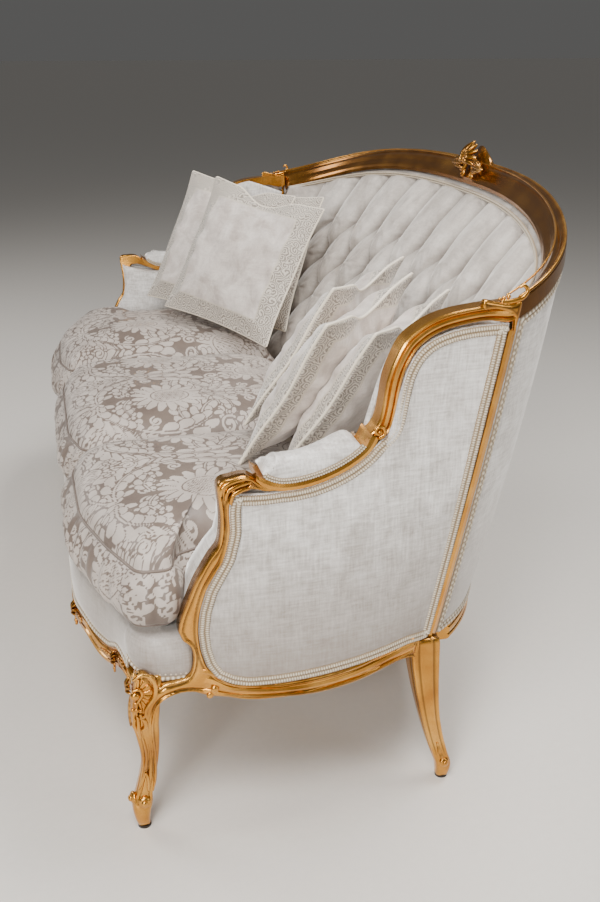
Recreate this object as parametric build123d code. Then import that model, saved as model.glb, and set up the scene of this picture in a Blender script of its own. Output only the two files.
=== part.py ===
from build123d import *
import math
import os

# French-style three-seat sofa with a giltwood frame, a deep-buttoned back and loose cushions.
# Lengths are in millimetres, +Z is up, the front faces -Y, and right means +X.
# The origin lies on the floor, under the middle of the whole sofa.
# A name that ends in share or shares is a ratio of the size that it goes with.

# Outline of the frame
crest_level = 1056.0
crest_end_level = 941.0
crest_end_half_width = 872.0
arm_level = 697.0
arm_front_half_width = 945.0
rail_level = 300.0
rail_front_half_width = 886.0
rail_rear_half_width = 840.0
rail_bow = 45.0
wing_hollow = 20.0
hollow_level = 740.0
side_front_y = -310.0
rear_post_foot_y = 112.0
back_foot_y = 368.0
rear_post_rake_share = 0.2078
rear_post_curve_share = 0.0378
back_rake_share = 0.30
back_curve_share = 0.096
plan_bend_share = 0.64
plan_corner_power = 10
crest_arch_power = 3.3

# Clearances
joint_gap = 0.4
cloth_gap = 1.2
soft_gap = 2.0

# Seat frame
rail_top = 334.0
front_y = -508.0
front_corner_y = -427.0
front_rail_thickness = 45.0
side_rail_thickness = 52.0
back_rail_thickness = 46.0
cover_step = 14.0
show_proud = 4.0
show_relief = 6.0

# Legs
leg_block_size = 55.0
front_leg_x = 866.0
front_leg_y = -400.0
rear_leg_x = 826.0
rear_leg_y = 101.0
centre_leg_size = 44.0
glide_radius = 12.0
glide_thickness = 5.0

# Arms, wings and rear posts
arm_scroll_y = -259.0
arm_inner_y = -234.0
arm_post_sweep = 88.0
arm_post_foot_depth = 58.0
arm_post_head_depth = 40.0
arm_rail_end_y = -224.0
arm_rail_height = 13.0
arm_width = 60.0
wing_rail_width = 26.0
wing_rail_depth = 34.0
rear_post_size = 40.0
rear_post_head_level = 888.0

# Crest
crest_width = 42.0
crest_face_height = 50.0
crest_rear_height = 34.0
crest_block_half_width = 72.0
crest_block_swell = 9.0
crest_block_rise = 44.0

# Upholstery
cover_thickness = 8.0
seat_level = 500.0
side_pad_front_depth = 105.0
side_pad_rear_depth = 66.0
wing_pad_depth = 48.0
rear_frame_depth = 40.0
post_depth_share = 0.22
pad_foot_level = 346.0
back_pad_thickness = 78.0
back_pad_edge_thickness = 18.0
tuft_depth = 13.0
tuft_columns = 11
tuft_rows = 5
button_radius = 8.0
button_height = 7.0
arm_pad_height = 36.0
border_level = 395.0
border_thickness = 62.0
border_swell = 7.0
deck_side_gap = 19.8
webbing_width = 55.0
webbing_thickness = 1.5

# Seat cushions
cushion_base = 396.0
cushion_height = 162.0
cushion_split = 300.0
cushion_side_depth = 127.4
cushion_front_y = -520.0
cushion_ear_reach = 59.0
cushion_ear_y = -356.0
cushion_rear_y = 84.0
cushion_corner_rear_y = 4.0

# Scatter pillows
pillow_size = 392.0
pillow_thickness = 70.0
pillow_flange = 44.0
pillow_flange_thickness = 7.0

crest_rise = crest_level - rail_level


def blend_between(low, high, share):
    return low + (high - low) * share


def clamp(value):
    return max(0.0, min(1.0, value))


def smooth(table, at):
    # cubic curve through the table's points, with the slope of the neighbours at each point
    count = len(table)
    k = 0
    while k < count - 2 and at > table[k + 1][0]:
        k += 1
    (x0, y0), (x1, y1) = table[k], table[k + 1]
    (xa, ya) = table[max(k - 1, 0)]
    (xb, yb) = table[min(k + 2, count - 1)]
    m0 = (y1 - ya) / (x1 - xa)
    m1 = (yb - y0) / (xb - x0)
    run = x1 - x0
    t = (at - x0) / run
    stay = 2 * t**3 - 3 * t**2 + 1
    bend0 = t**3 - 2 * t**2 + t
    bend1 = t**3 - t**2
    return stay * y0 + (1 - stay) * y1 + bend0 * run * m0 + bend1 * run * m1


def plan_share(s):
    # how far the back has swept forward at a share s of its half width
    return plan_bend_share * s**2 + (1 - plan_bend_share) * abs(s) ** plan_corner_power


def rear_y(z):
    # line of the rear posts, raked and slightly curved
    rise = z - rail_level
    return rear_post_foot_y + rear_post_rake_share * rise - rear_post_curve_share * rise * rise / crest_rise


def back_middle_y(z):
    rise = z - rail_level
    return back_foot_y + back_rake_share * rise - back_curve_share * rise * rise / crest_rise


def rear_half_width(z):
    share = (z - rail_level) / (crest_end_level - rail_level)
    return blend_between(rail_rear_half_width, crest_end_half_width, share)


def back_y(x, z):
    # outer surface of the back
    middle = back_middle_y(z)
    return middle - (middle - rear_y(z)) * plan_share(x / rear_half_width(z))


def side_share(y, z):
    return (y - side_front_y) / (rear_y(z) - side_front_y)


def side_x(y, z):
    # outer surface of the right side: bowed at the rail, hollow at the wing
    up = (z - rail_level) / (arm_level - rail_level)
    front = blend_between(rail_front_half_width, arm_front_half_width, up)
    t = side_share(y, z)
    height = clamp((z - rail_level) / (hollow_level - rail_level))
    bow = blend_between(rail_bow, -wing_hollow, height)
    return blend_between(front, rear_half_width(z), t) + 4 * bow * t * (1 - t)


def inner_x(y, z):
    # face of the inner side pads
    low = clamp((z - seat_level) / (arm_level - seat_level))
    front = blend_between(side_pad_front_depth, arm_width, low)
    rear = blend_between(side_pad_rear_depth, wing_pad_depth, low)
    return side_x(y, z) - blend_between(front, rear, clamp(side_share(y, z)))


def pad_outer_x(y, z):
    # face of the inner side pads that is turned to the frame
    low = clamp((z - seat_level) / (arm_level - seat_level))
    front = blend_between(arm_post_foot_depth, arm_post_head_depth, low)
    run = clamp((side_share(y, z) - post_depth_share) / (1 - post_depth_share))
    depth = blend_between(front, rear_frame_depth, run)
    return side_x(y, z) - depth - soft_gap


def crest_top(x):
    drop = crest_level - crest_end_level
    return crest_level - drop * (abs(x) / crest_end_half_width) ** crest_arch_power


def polygon(points):
    return Wire.make_polygon(points, close=True)


def strip_section(front_points, rear_points):
    # closed section with a smooth face on each side
    rear_points = list(reversed(rear_points))
    return Wire(
        [
            Spline(front_points),
            Line(front_points[-1], rear_points[0]),
            Spline(rear_points),
            Line(rear_points[-1], front_points[0]),
        ]
    )


def spread(low, high, count):
    return [blend_between(low, high, k / (count - 1)) for k in range(count)]


def surface_solid(grid_a, grid_b, tolerance):
    # closed solid between two point grids, with ruled edges
    face_a = Face.make_surface_from_array_of_points(grid_a, tol=tolerance)
    face_b = Face.make_surface_from_array_of_points(grid_b, tol=tolerance)
    edges_b = list(face_b.edges())
    sides = []
    for edge in face_a.edges():
        middle = edge @ 0.5
        partner = min(edges_b, key=lambda other: ((other @ 0.5) - middle).length)
        sides.append(Face.make_surface_from_curves(edge, partner))
    return Solid(Shell([face_a, face_b] + sides))


def mirrored(solid):
    return solid.mirror(Plane.YZ)


parts = {}


def add(name, *solids):
    parts[name] = solids


def add_pair(name, solid):
    add(name + "_right", solid)
    add(name + "_left", mirrored(solid))


# Show-wood moulding: across the face, and how far each point lies under the crown
moulding_shares = [
    (0.0, 1.0), (0.05, 0.35), (0.14, 0.05), (0.23, 0.3), (0.28, 0.95), (0.38, 0.3), (0.52, 0.0),
    (0.66, 0.3), (0.74, 0.95), (0.79, 0.3), (0.88, 0.05), (0.96, 0.35), (1.0, 1.0),
]


# Legs
back_rail_show = 306.0
leg_arc_sides = 12


def round_square(x, y, z, half, round_share):
    # section between a square and a circle
    points = []
    for k in range(leg_arc_sides):
        angle = math.radians(360 * (k + 0.5) / leg_arc_sides)
        c, s = math.cos(angle), math.sin(angle)
        square = 1 / max(abs(c), abs(s))
        reach = half * blend_between(square, 1, round_share)
        points.append((x + reach * c, y + reach * s, z))
    return polygon(points)


# Each row: height share, outward and lengthwise shift in block sizes, half size in block sizes, roundness
front_leg_shares = [
    (0.0, -0.16, -0.50, 0.22, 0.7), (0.055, -0.12, -0.54, 0.27, 0.6), (0.12, -0.12, -0.52, 0.30, 0.5),
    (0.18, -0.18, -0.46, 0.27, 0.6), (0.26, -0.26, -0.36, 0.26, 0.6), (0.42, -0.25, -0.24, 0.27, 0.5),
    (0.58, -0.17, -0.20, 0.30, 0.4), (0.74, -0.06, -0.24, 0.37, 0.3), (0.87, 0.02, -0.30, 0.43, 0.2),
    (0.96, 0.04, -0.24, 0.46, 0.12), (1.0, 0.0, 0.0, 0.5, 0.0),
]
rear_leg_shares = [
    (0.0, 0.42, 0.82, 0.24, 0.6), (0.09, 0.42, 0.82, 0.28, 0.5), (0.2, 0.38, 0.64, 0.29, 0.4),
    (0.34, 0.33, 0.44, 0.31, 0.3), (0.52, 0.30, 0.24, 0.35, 0.2), (0.72, 0.22, 0.12, 0.42, 0.12),
    (0.88, 0.10, 0.05, 0.48, 0.06), (1.0, 0.0, 0.0, 0.5, 0.0),
]
leg_head_level = 268.0
leg_foot_level = glide_thickness + joint_gap


def leg_sections(table, x, y):
    sections = []
    for height, outward, along, half, round_share in table:
        z = blend_between(leg_foot_level, leg_head_level, height)
        size = leg_block_size
        sections.append(round_square(x + outward * size, y + along * size, z, half * size, round_share))
    return sections


def leg(table, x, y, head_level):
    shaft = Solid.make_loft(leg_sections(table, x, y))
    head = Solid.extrude(Face(leg_sections(table, x, y)[-1]), Vector(0, 0, head_level - leg_head_level))
    return shaft.fuse(head)


def single(shape):
    return shape.solids()[0]


add_pair("front_leg", single(leg(front_leg_shares, front_leg_x, front_leg_y, rail_top)))
add_pair("rear_leg", single(leg(rear_leg_shares, rear_leg_x, rear_leg_y, back_rail_show)))

centre_leg_shares = [(0.0, 0.3), (0.1, 0.32), (0.45, 0.36), (0.85, 0.46), (1.0, 0.5)]
back_rail_foot = 270.0
centre_leg_y = back_middle_y(rail_level) - cover_step - 0.5 * back_rail_thickness
centre_leg_head = back_rail_foot - joint_gap
centre_sections = [
    round_square(
        0, centre_leg_y, blend_between(leg_foot_level, centre_leg_head, height), half * centre_leg_size, 0.3
    )
    for height, half in centre_leg_shares
]
add("rear_center_leg", Solid.make_loft(centre_sections))

glides = []
front_foot = front_leg_shares[0]
rear_foot = rear_leg_shares[0]
foot_places = [(0, centre_leg_y)]
for side in (-1, 1):
    for table_row, x, y in ((front_foot, front_leg_x, front_leg_y), (rear_foot, rear_leg_x, rear_leg_y)):
        foot_places.append((side * (x + table_row[1] * leg_block_size), y + table_row[2] * leg_block_size))
for x, y in foot_places:
    glides.append(Pos(x, y, 0.5 * glide_thickness) * Cylinder(glide_radius, glide_thickness).solid())
add("foot_glides", *glides)


# Seat rails
side_rail_front_y = front_leg_y + 0.5 * leg_block_size + joint_gap
side_rail_rear_y = rear_leg_y - 0.5 * leg_block_size - joint_gap
side_rail_run = side_rail_rear_y - side_rail_front_y
side_rail_foot = 265.0
show_ledge = 3.0
rail_rise = rail_top - show_ledge - side_rail_foot
side_rail_low_shares = [
    (0.0, 0.50), (0.04, 0.46), (0.08, 0.32), (0.13, 0.15), (0.27, 0.10), (0.42, 0.03), (0.58, 0.0),
    (0.75, 0.09), (0.91, 0.28), (1.0, 0.36),
]
side_rail_high_shares = [
    (0.0, 0.66), (0.04, 0.80), (0.08, 0.98), (0.16, 1.0), (0.185, 0.85), (0.23, 0.63), (0.27, 0.56),
    (0.42, 0.49), (0.58, 0.54), (0.75, 0.67), (0.91, 0.86), (1.0, 0.92),
]


def side_rail_low(y):
    return side_rail_foot + rail_rise * smooth(side_rail_low_shares, (y - side_rail_front_y) / side_rail_run)


def side_rail_high(y):
    share = smooth(side_rail_high_shares, (y - side_rail_front_y) / side_rail_run)
    return side_rail_foot + rail_rise * min(share, 1.0)


def show_face(low, high, outer):
    # moulded face between two levels, as pairs of outward place and level
    points = []
    for across, under in moulding_shares:
        z = blend_between(low, high, across)
        points.append((outer(z) + show_proud - show_relief * under, z))
    return points


def side_rail_section(y):
    low, high = side_rail_low(y), side_rail_high(y)
    face = [(x, y, z) for x, z in show_face(low, high, lambda z: side_x(y, z))]
    core = side_x(y, rail_top)
    face.append((core - cover_step, y, high))
    face.append((core - cover_step, y, rail_top))
    face.append((core - side_rail_thickness, y, rail_top))
    face.append((core - side_rail_thickness, y, low + show_relief))
    return polygon(face)


side_rail_stations = 19
side_rail_ys = spread(side_rail_front_y, side_rail_rear_y, side_rail_stations)
side_rail = Solid.make_loft([side_rail_section(y) for y in side_rail_ys])
add_pair("side_seat_rail", side_rail)

front_rail_half = front_leg_x - 0.5 * leg_block_size - joint_gap
front_sweep = front_corner_y - front_y
front_plan_shares = [
    (-1.2, 1.1), (-1.035, 1.03), (-0.95, 0.90), (-0.86, 0.65), (-0.71, 0.10), (-0.54, -0.05), (0.0, 0.0),
    (0.54, -0.05), (0.71, 0.10), (0.86, 0.65), (0.95, 0.90), (1.035, 1.03), (1.2, 1.1),
]
front_rail_foot = 238.0
front_rail_rise = rail_top - front_rail_foot
front_rail_low_shares = [
    (0.0, 0.02), (0.1, 0.13), (0.25, 0.25), (0.42, 0.2), (0.55, 0.03), (0.62, 0.0), (0.72, 0.2),
    (0.79, 0.07), (0.85, 0.12), (0.9, 0.3), (1.0, 0.34),
]
front_rail_high_shares = [
    (0.0, 0.60), (0.1, 0.68), (0.25, 0.74), (0.42, 0.66), (0.55, 0.52), (0.62, 0.52), (0.72, 0.65),
    (0.79, 0.55), (0.85, 0.58), (0.9, 0.77), (0.95, 0.74), (1.0, 0.68),
]


def front_edge_y(x):
    return front_y + front_sweep * smooth(front_plan_shares, x / front_rail_half)


def front_rail_low(x):
    return front_rail_foot + front_rail_rise * smooth(front_rail_low_shares, abs(x) / front_rail_half)


def front_rail_high(x):
    return front_rail_foot + front_rail_rise * smooth(front_rail_high_shares, abs(x) / front_rail_half)


def front_rail_section(x):
    low, high = front_rail_low(x), front_rail_high(x)
    edge = front_edge_y(x)
    face = [(x, -y, z) for y, z in show_face(low, high, lambda z: -edge)]
    face.append((x, edge + cover_step, high))
    face.append((x, edge + cover_step, rail_top))
    face.append((x, edge + front_rail_thickness, rail_top))
    face.append((x, edge + front_rail_thickness, low + show_relief))
    return polygon(face)


front_rail_stations = 37
front_rail_xs = spread(-front_rail_half, front_rail_half, front_rail_stations)
front_rail = Solid.make_loft([front_rail_section(x) for x in front_rail_xs])
add("front_seat_rail", front_rail)

back_rail_half = rear_leg_x - 0.5 * leg_block_size - joint_gap


def back_rail_section(x):
    edge = back_y(x, rail_level)
    face = [(x, y, z) for y, z in show_face(back_rail_foot, back_rail_show, lambda z: edge)]
    face.append((x, edge - cover_step, back_rail_show))
    face.append((x, edge - cover_step, rail_top))
    face.append((x, edge - cover_step - back_rail_thickness, rail_top))
    face.append((x, edge - cover_step - back_rail_thickness, back_rail_foot))
    return polygon(face)


back_rail_stations = 33
back_rail_xs = spread(-back_rail_half, back_rail_half, back_rail_stations)
back_rail = Solid.make_loft([back_rail_section(x) for x in back_rail_xs])
add("back_seat_rail", back_rail)

cross_rail_width = 32.0
cross_rail_height = 48.0
cross_rail_x = 290.0


def block(low_corner, high_corner):
    size = [b - a for a, b in zip(low_corner, high_corner)]
    middle = [0.5 * (a + b) for a, b in zip(low_corner, high_corner)]
    return (Pos(*middle) * Box(*size)).solid()


rear_inner_edge = back_y(cross_rail_x + cross_rail_width, rail_level) - cover_step - back_rail_thickness
front_inner_edge = front_edge_y(cross_rail_x) + front_rail_thickness
cross_rails = []
for side in (-1, 1):
    left = side * cross_rail_x - 0.5 * cross_rail_width
    low_corner = (left, front_inner_edge + soft_gap, rail_top - cross_rail_height)
    high_corner = (left + cross_rail_width, rear_inner_edge - joint_gap, rail_top)
    cross_rails.append(block(low_corner, high_corner))
add("seat_cross_rails", *cross_rails)

# Corner blocks with two screws each
corner_block_reach = 62.0
corner_block_height = 40.0
screw_radius = 2.5
screw_length = 34.0
corner_blocks = []
corner_screws = []
front_block_y = front_edge_y(front_rail_half) + front_rail_thickness + soft_gap
rear_block_y = rear_leg_y - 0.5 * leg_block_size - corner_block_reach - soft_gap
rear_rail_x = side_x(rear_block_y + corner_block_reach, rail_top) - side_rail_thickness - soft_gap
front_rail_x = side_x(side_rail_front_y, rail_top) - side_rail_thickness - soft_gap
for side in (-1, 1):
    block_corners = ((front_rail_x, front_block_y, 1), (rear_rail_x, rear_block_y + corner_block_reach, -1))
    for corner_x, corner_y, turn in block_corners:
        outline = [
            (side * corner_x, corner_y, 0),
            (side * (corner_x - corner_block_reach), corner_y, 0),
            (side * corner_x, corner_y + turn * corner_block_reach, 0),
        ]
        base = rail_top - corner_block_height - soft_gap
        shape = Solid.extrude(Face(polygon(outline)), Vector(0, 0, corner_block_height))
        shape = shape.translate(Vector(0, 0, base))
        for place, cross in ((0.3, 0.6), (0.6, 0.3)):
            x = side * (corner_x - corner_block_reach * place * 0.5)
            y = corner_y + turn * corner_block_reach * cross * 0.5
            hole = Pos(x, y, base + 0.5 * screw_length) * Cylinder(screw_radius + joint_gap, screw_length)
            screw = Pos(x, y, base + 0.5 * screw_length) * Cylinder(screw_radius, screw_length - 2 * joint_gap)
            shape = shape.cut(hole.solid())
            corner_screws.append(screw.solid())
        corner_blocks.append(single(shape))
add("corner_blocks", *corner_blocks)
add("corner_block_screws", *corner_screws)


# Arm posts: pairs of points on the front and the rear edge, as shares of the post's sweep and rise
arm_rise = arm_level - rail_top
arm_front_shares = [
    (0.0, 0.81), (0.04, 0.875), (0.143, 1.0), (0.259, 0.83), (0.397, 0.58), (0.6, 0.25), (0.752, 0.216),
    (0.9, 0.17), (1.0, 0.0),
]
arm_rear_shares = [
    (0.0, 0.80), (0.08, 0.85), (0.198, 0.82), (0.333, 0.58), (0.51, 0.28), (0.689, 0.19), (0.86, 0.13),
    (0.94, 0.0),
]


def arm_front_y(z):
    return arm_scroll_y - arm_post_sweep * smooth(arm_front_shares, (z - rail_top) / arm_rise)


def arm_rear_y(z):
    return arm_inner_y - arm_post_sweep * smooth(arm_rear_shares, (z - rail_top) / arm_rise)


def arm_post_depth(z):
    low = clamp((z - seat_level) / (arm_level - seat_level))
    return blend_between(arm_post_foot_depth, arm_post_head_depth, low)


def side_section(front, rear, depth):
    # moulded section between two points of the side, each given as y and level
    points = []
    for across, under in moulding_shares:
        y = blend_between(front[0], rear[0], across)
        z = blend_between(front[1], rear[1], across)
        points.append((side_x(y, z) + show_proud - show_relief * under, y, z))
    points.append((side_x(*rear) - depth, rear[0], rear[1]))
    points.append((side_x(*front) - depth, front[0], front[1]))
    return polygon(points)


arm_post_stations = 14
head_share = 0.93
arm_sections = []
for k, rise_share in enumerate(spread(0, head_share, arm_post_stations)):
    low_z = rail_top + joint_gap + arm_rise * rise_share
    tip_z = rail_top + joint_gap + arm_rise * rise_share * (1 + 0.07 * rise_share)
    front_point = (arm_front_y(tip_z), tip_z)
    arm_sections.append(side_section(front_point, (arm_rear_y(low_z), low_z), arm_post_depth(low_z)))
scroll_gap = arm_rail_end_y - arm_scroll_y
scroll_shares = [((0.36, 0.022), (0.84, -0.055)), ((1.0, 0.018), (1.0, -0.034))]
for (front_run, front_rise), (rear_run, rear_rise) in scroll_shares:
    front_point = (arm_scroll_y + scroll_gap * front_run - joint_gap, arm_level + arm_rise * front_rise)
    rear_point = (arm_scroll_y + scroll_gap * rear_run - joint_gap, arm_level + arm_rise * rear_rise)
    arm_sections.append(side_section(front_point, rear_point, arm_post_head_depth))
add_pair("arm_post", Solid.make_loft(arm_sections))

# Arm rails: lower edge from the scroll to the wing, as shares of the arm's run and dip
arm_run = 214.0
arm_dip = 40.0
arm_edge_drop = 12.0
arm_low_shares = [
    (0.0, 0.0), (0.05, -0.30), (0.2, -0.64), (0.44, -0.66), (0.68, -0.36), (0.86, 0.10), (0.96, 0.55),
    (1.0, 0.95),
]
arm_edge_level = arm_level - arm_edge_drop


def arm_low(share):
    return (arm_rail_end_y + arm_run * share, arm_edge_level + arm_dip * smooth(arm_low_shares, share))


def arm_normal(share):
    step = 0.01
    a, b = arm_low(max(share - step, 0)), arm_low(min(share + step, 1))
    length = math.hypot(b[0] - a[0], b[1] - a[1])
    return ((a[1] - b[1]) / length, (b[0] - a[0]) / length)


def arm_rail_points(share, rise):
    y, z = arm_low(share)
    ny, nz = arm_normal(share) if 0 < share else (0.0, 1.0)
    return (y + ny * rise, z + nz * rise)


def arm_rail_section(share):
    low = arm_low(share)
    high = arm_rail_points(share, arm_rail_height)
    outer_low = side_x(*low) + 0.5 * show_proud
    outer_high = side_x(*high) + 0.5 * show_proud
    middle = (0.5 * (low[0] + high[0]), 0.5 * (low[1] + high[1]))
    return polygon(
        [
            (outer_low, *low),
            (side_x(*middle) + show_proud, *middle),
            (outer_high, *high),
            (side_x(*high) - arm_width, *high),
            (side_x(*low) - arm_width, *low),
        ]
    )


arm_stations = 15
add_pair("arm_rail", Solid.make_loft([arm_rail_section(share) for share in spread(0, 1, arm_stations)]))

# Arm pads: a long crowned roll on each arm rail
arm_pad_sides = 9
arm_pad_start_share = 0.10
arm_pad_end_share = 0.9
arm_pad_end_height_share = 0.35


def arm_pad_section(share):
    along = (share - arm_pad_start_share) / (arm_pad_end_share - arm_pad_start_share)
    swell = max(0.0, 1 - (2 * along - 1) ** 4) ** 0.5
    height = arm_pad_height * blend_between(arm_pad_end_height_share, 1, swell)
    half = 0.5 * arm_width * blend_between(0.8, 0.97, swell)
    points = []
    for k in range(arm_pad_sides + 1):
        angle = math.pi * k / arm_pad_sides
        rise = arm_rail_height + cloth_gap + height * math.sin(angle) ** 0.7
        y, z = arm_rail_points(share, rise)
        base = arm_rail_points(share, arm_rail_height)
        centre = side_x(*base) - 0.5 * arm_width
        points.append((centre + half * math.cos(angle), y, z))
    return polygon(points)


pad_sections = [arm_pad_section(share) for share in spread(arm_pad_start_share, arm_pad_end_share, 11)]
add_pair("arm_pad", Solid.make_loft(pad_sections))

# Wing rails: outer and inner edge from the arm to the crest
wing_foot_y = -10.6
wing_head_y = 221.0
wing_run = wing_head_y - wing_foot_y
wing_foot_level = 723.4
wing_rise = 209.0
wing_outer_shares = [
    (-0.06, 0.046), (-0.005, 0.12), (0.024, 0.27), (0.035, 0.40), (0.06, 0.54), (0.105, 0.67), (0.16, 0.78),
    (0.24, 0.855), (0.33, 0.91), (0.45, 0.955), (0.62, 0.985), (0.80, 1.0), (1.0, 0.998),
]
wing_inner_shares = [
    (0.0, 0.0), (0.10, 0.07), (0.132, 0.25), (0.147, 0.37), (0.17, 0.50), (0.205, 0.60), (0.25, 0.685),
    (0.31, 0.75), (0.385, 0.80), (0.485, 0.838), (0.63, 0.865), (0.80, 0.875), (1.0, 0.873),
]


def wing_point(pair):
    return (wing_foot_y + wing_run * pair[0], wing_foot_level + wing_rise * pair[1])


wing_sections = []
for outer_pair, inner_pair in zip(wing_outer_shares, wing_inner_shares):
    wing_sections.append(side_section(wing_point(outer_pair), wing_point(inner_pair), wing_rail_depth))
add_pair("wing_rail", Solid.make_loft(wing_sections))

# Rear posts: a thin gilt strip at the corner, with the post behind it
rear_post_shares = [
    (0.08, -0.15), (0.10, 0.0), (-0.05, 0.21), (-0.29, 0.055), (-0.9, 0.055), (-0.9, -0.95), (-0.24, -0.95),
    (-0.24, -0.15),
]


def rear_post_section(z):
    points = []
    for a, b in rear_post_shares:
        x = rear_half_width(z) + rear_post_size * a
        y = rear_y(z) + rear_post_size * b
        if b < 0 and a < 0:
            x = min(x, side_x(y, z) - cover_thickness - cloth_gap)
        points.append((x, y, z))
    return polygon(points)


rear_post_stations = 9
rear_levels = spread(back_rail_show + joint_gap, rear_post_head_level, rear_post_stations)
add_pair("rear_post", Solid.make_loft([rear_post_section(z) for z in rear_levels]))

# Crest rails and the carved block between them: inward and downward shares of the section's width and height
crest_shares = [
    (0.0, -0.68), (0.0, -0.12), (0.06, -0.02), (0.16, 0.0), (0.25, -0.05), (0.30, -0.14), (0.40, -0.17),
    (0.52, -0.24), (0.66, -0.45), (0.76, -0.55), (0.84, -0.62), (0.93, -0.72), (1.0, -0.85), (1.0, -1.0),
]


def crest_outer(x):
    return (x, back_y(x, crest_top(x)), crest_top(x))


slope_step = 0.5


def crest_inward(x):
    # plan direction square to the crest, pointing into the sofa
    step = slope_step
    far = min(x + step, crest_end_half_width)
    near = far - 2 * step
    dx = far - near
    dy = crest_outer(far)[1] - crest_outer(near)[1]
    length = math.hypot(dx, dy)
    return (dy / length, -dx / length)


def crest_section(x, swell, rise):
    cx, cy, cz = crest_outer(x)
    ix, iy = crest_inward(x)
    if x >= crest_end_half_width:
        ix, iy = -1.0, 0.0
    width = crest_width
    points = []
    for inward, down in crest_shares:
        outward = swell if 0 < inward < 1 else 0
        reach = width * inward - outward * (0.5 - inward)
        lift = rise * (1 - abs(2 * inward - 0.6)) if inward < 0.8 else 0
        level = crest_face_height * down + max(lift, 0)
        points.append((cx + ix * reach, cy + iy * reach, cz + level))
    return polygon(points)


crest_stations = 22
crest_rail_xs = []
for share in spread(0, 1, crest_stations):
    crest_rail_xs.append(blend_between(crest_block_half_width + joint_gap, crest_end_half_width, share**0.8))
crest_rail = Solid.make_loft([crest_section(x, 0, 0) for x in crest_rail_xs])
add_pair("crest_rail", crest_rail)

block_sections = []
for share in spread(-1, 1, 15):
    x = abs(share) * crest_block_half_width
    bump = math.cos(0.5 * math.pi * share) ** 1.5 if abs(share) < 1 else 0
    cx = share * crest_block_half_width
    shape = crest_section(x, crest_block_swell * bump, crest_block_rise * bump)
    shape = shape if cx >= 0 else shape.mirror(Plane.YZ)
    block_sections.append(shape)
half_block = Solid.make_loft(block_sections[7:])
add("crest_cartouche", single(half_block.fuse(mirrored(half_block))))

# Covers and pads on the sides
def side_patch(bottom, top, front, rear, u, v):
    # Coons patch in y and level between four edge curves
    b, t, f, r = bottom(u), top(u), front(v), rear(v)
    c00, c10, c01, c11 = bottom(0), bottom(1), top(0), top(1)
    place = []
    for i in (0, 1):
        ruled_v = blend_between(b[i], t[i], v)
        ruled_u = blend_between(f[i], r[i], u)
        corners = (1 - u) * (1 - v) * c00[i] + u * (1 - v) * c10[i] + (1 - u) * v * c01[i] + u * v * c11[i]
        place.append(ruled_v + ruled_u - corners)
    return place


arm_top_share = 0.42


def top_edge(u, arm_edge, wing_edge):
    # the arm's edge first, then the wing's
    if u < arm_top_share:
        return arm_edge(u / arm_top_share)
    return wing_edge((u - arm_top_share) / (1 - arm_top_share))


def table_point(pairs, share):
    ys = [(k / (len(pairs) - 1), pair[0]) for k, pair in enumerate(pairs)]
    zs = [(k / (len(pairs) - 1), pair[1]) for k, pair in enumerate(pairs)]
    return wing_point((smooth(ys, share), smooth(zs, share)))


cover_front_level = 331.0
cover_head_level = 672.0
strip_front = 0.15 * rear_post_size + cloth_gap
rail_look_back = 9.0


def cover_bottom(u):
    y = blend_between(arm_rear_y(cover_front_level) + cloth_gap, rear_y(rail_top) - strip_front, u)
    y_on_rail = min(y, side_rail_rear_y)
    near = max(side_rail_high(y_on_rail), side_rail_high(y_on_rail - rail_look_back))
    return (y, max(near, rail_level) + cloth_gap)


def cover_front(v):
    z = blend_between(cover_bottom(0)[1], cover_head_level, v)
    return (arm_rear_y(z) + cloth_gap, z)


def cover_rear(v):
    z = blend_between(cover_bottom(1)[1], wing_point(wing_inner_shares[-1])[1] - 3 * soft_gap, v)
    return (rear_y(z) - strip_front, z)


def cover_top(u):
    def arm_edge(share):
        y, z = arm_low(blend_between(0.035, 0.97, share))
        ny, nz = arm_normal(blend_between(0.035, 0.97, share))
        return (y - ny * cloth_gap, z - nz * cloth_gap)

    def wing_edge(share):
        y, z = table_point(wing_inner_shares, blend_between(0.06, 0.97, share))
        return (y + cloth_gap * (1 - share), z - 3 * soft_gap)

    raw = top_edge(u, arm_edge, wing_edge)
    first, last = cover_front(1), cover_rear(1)
    start = top_edge(0, arm_edge, wing_edge)
    end = top_edge(1, arm_edge, wing_edge)
    near_start = max(0.0, 1 - u / 0.08)
    near_end = max(0.0, (u - 0.92) / 0.08)
    y = raw[0] + (first[0] - start[0]) * near_start + (last[0] - end[0]) * near_end
    z = raw[1] + (first[1] - start[1]) * near_start + (last[1] - end[1]) * near_end
    return (y, z)


cover_columns = 34
cover_rows = 14
outer_grid = []
inner_grid = []
for v in spread(0, 1, cover_rows):
    outer_row = []
    inner_row = []
    for u in spread(0, 1, cover_columns):
        y, z = side_patch(cover_bottom, cover_top, cover_front, cover_rear, u, v)
        outer_row.append((side_x(y, z), y, z))
        inner_row.append((side_x(y, z) - cover_thickness, y, z))
    outer_grid.append(outer_row)
    inner_grid.append(inner_row)
surface_tolerance = 0.05
add_pair("side_cover", surface_solid(outer_grid, inner_grid, surface_tolerance))


# Inside of the back: levels and rake at its middle and at its ends, as shares of the height over the deck
back_base_level = pad_foot_level
inner_middle_y = 92.0
inner_top_y = back_y(0, crest_level) - crest_width
inner_end_y = 8.0
back_end_step = 6.0
inner_middle_shares = [(0.0, 0.0), (0.264, 0.094), (0.536, 0.372), (0.82, 0.716), (1.0, 1.0)]
inner_end_shares = [(0.0, 0.0), (0.3, 0.27), (0.6, 0.59), (1.0, 1.0)]
back_end_y = rear_y(crest_end_level) - back_end_step


def back_top_level(s):
    drop = crest_level - crest_end_level - 0.35 * crest_face_height
    return crest_level - crest_face_height - 2 * soft_gap - drop * abs(s) ** crest_arch_power


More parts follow.
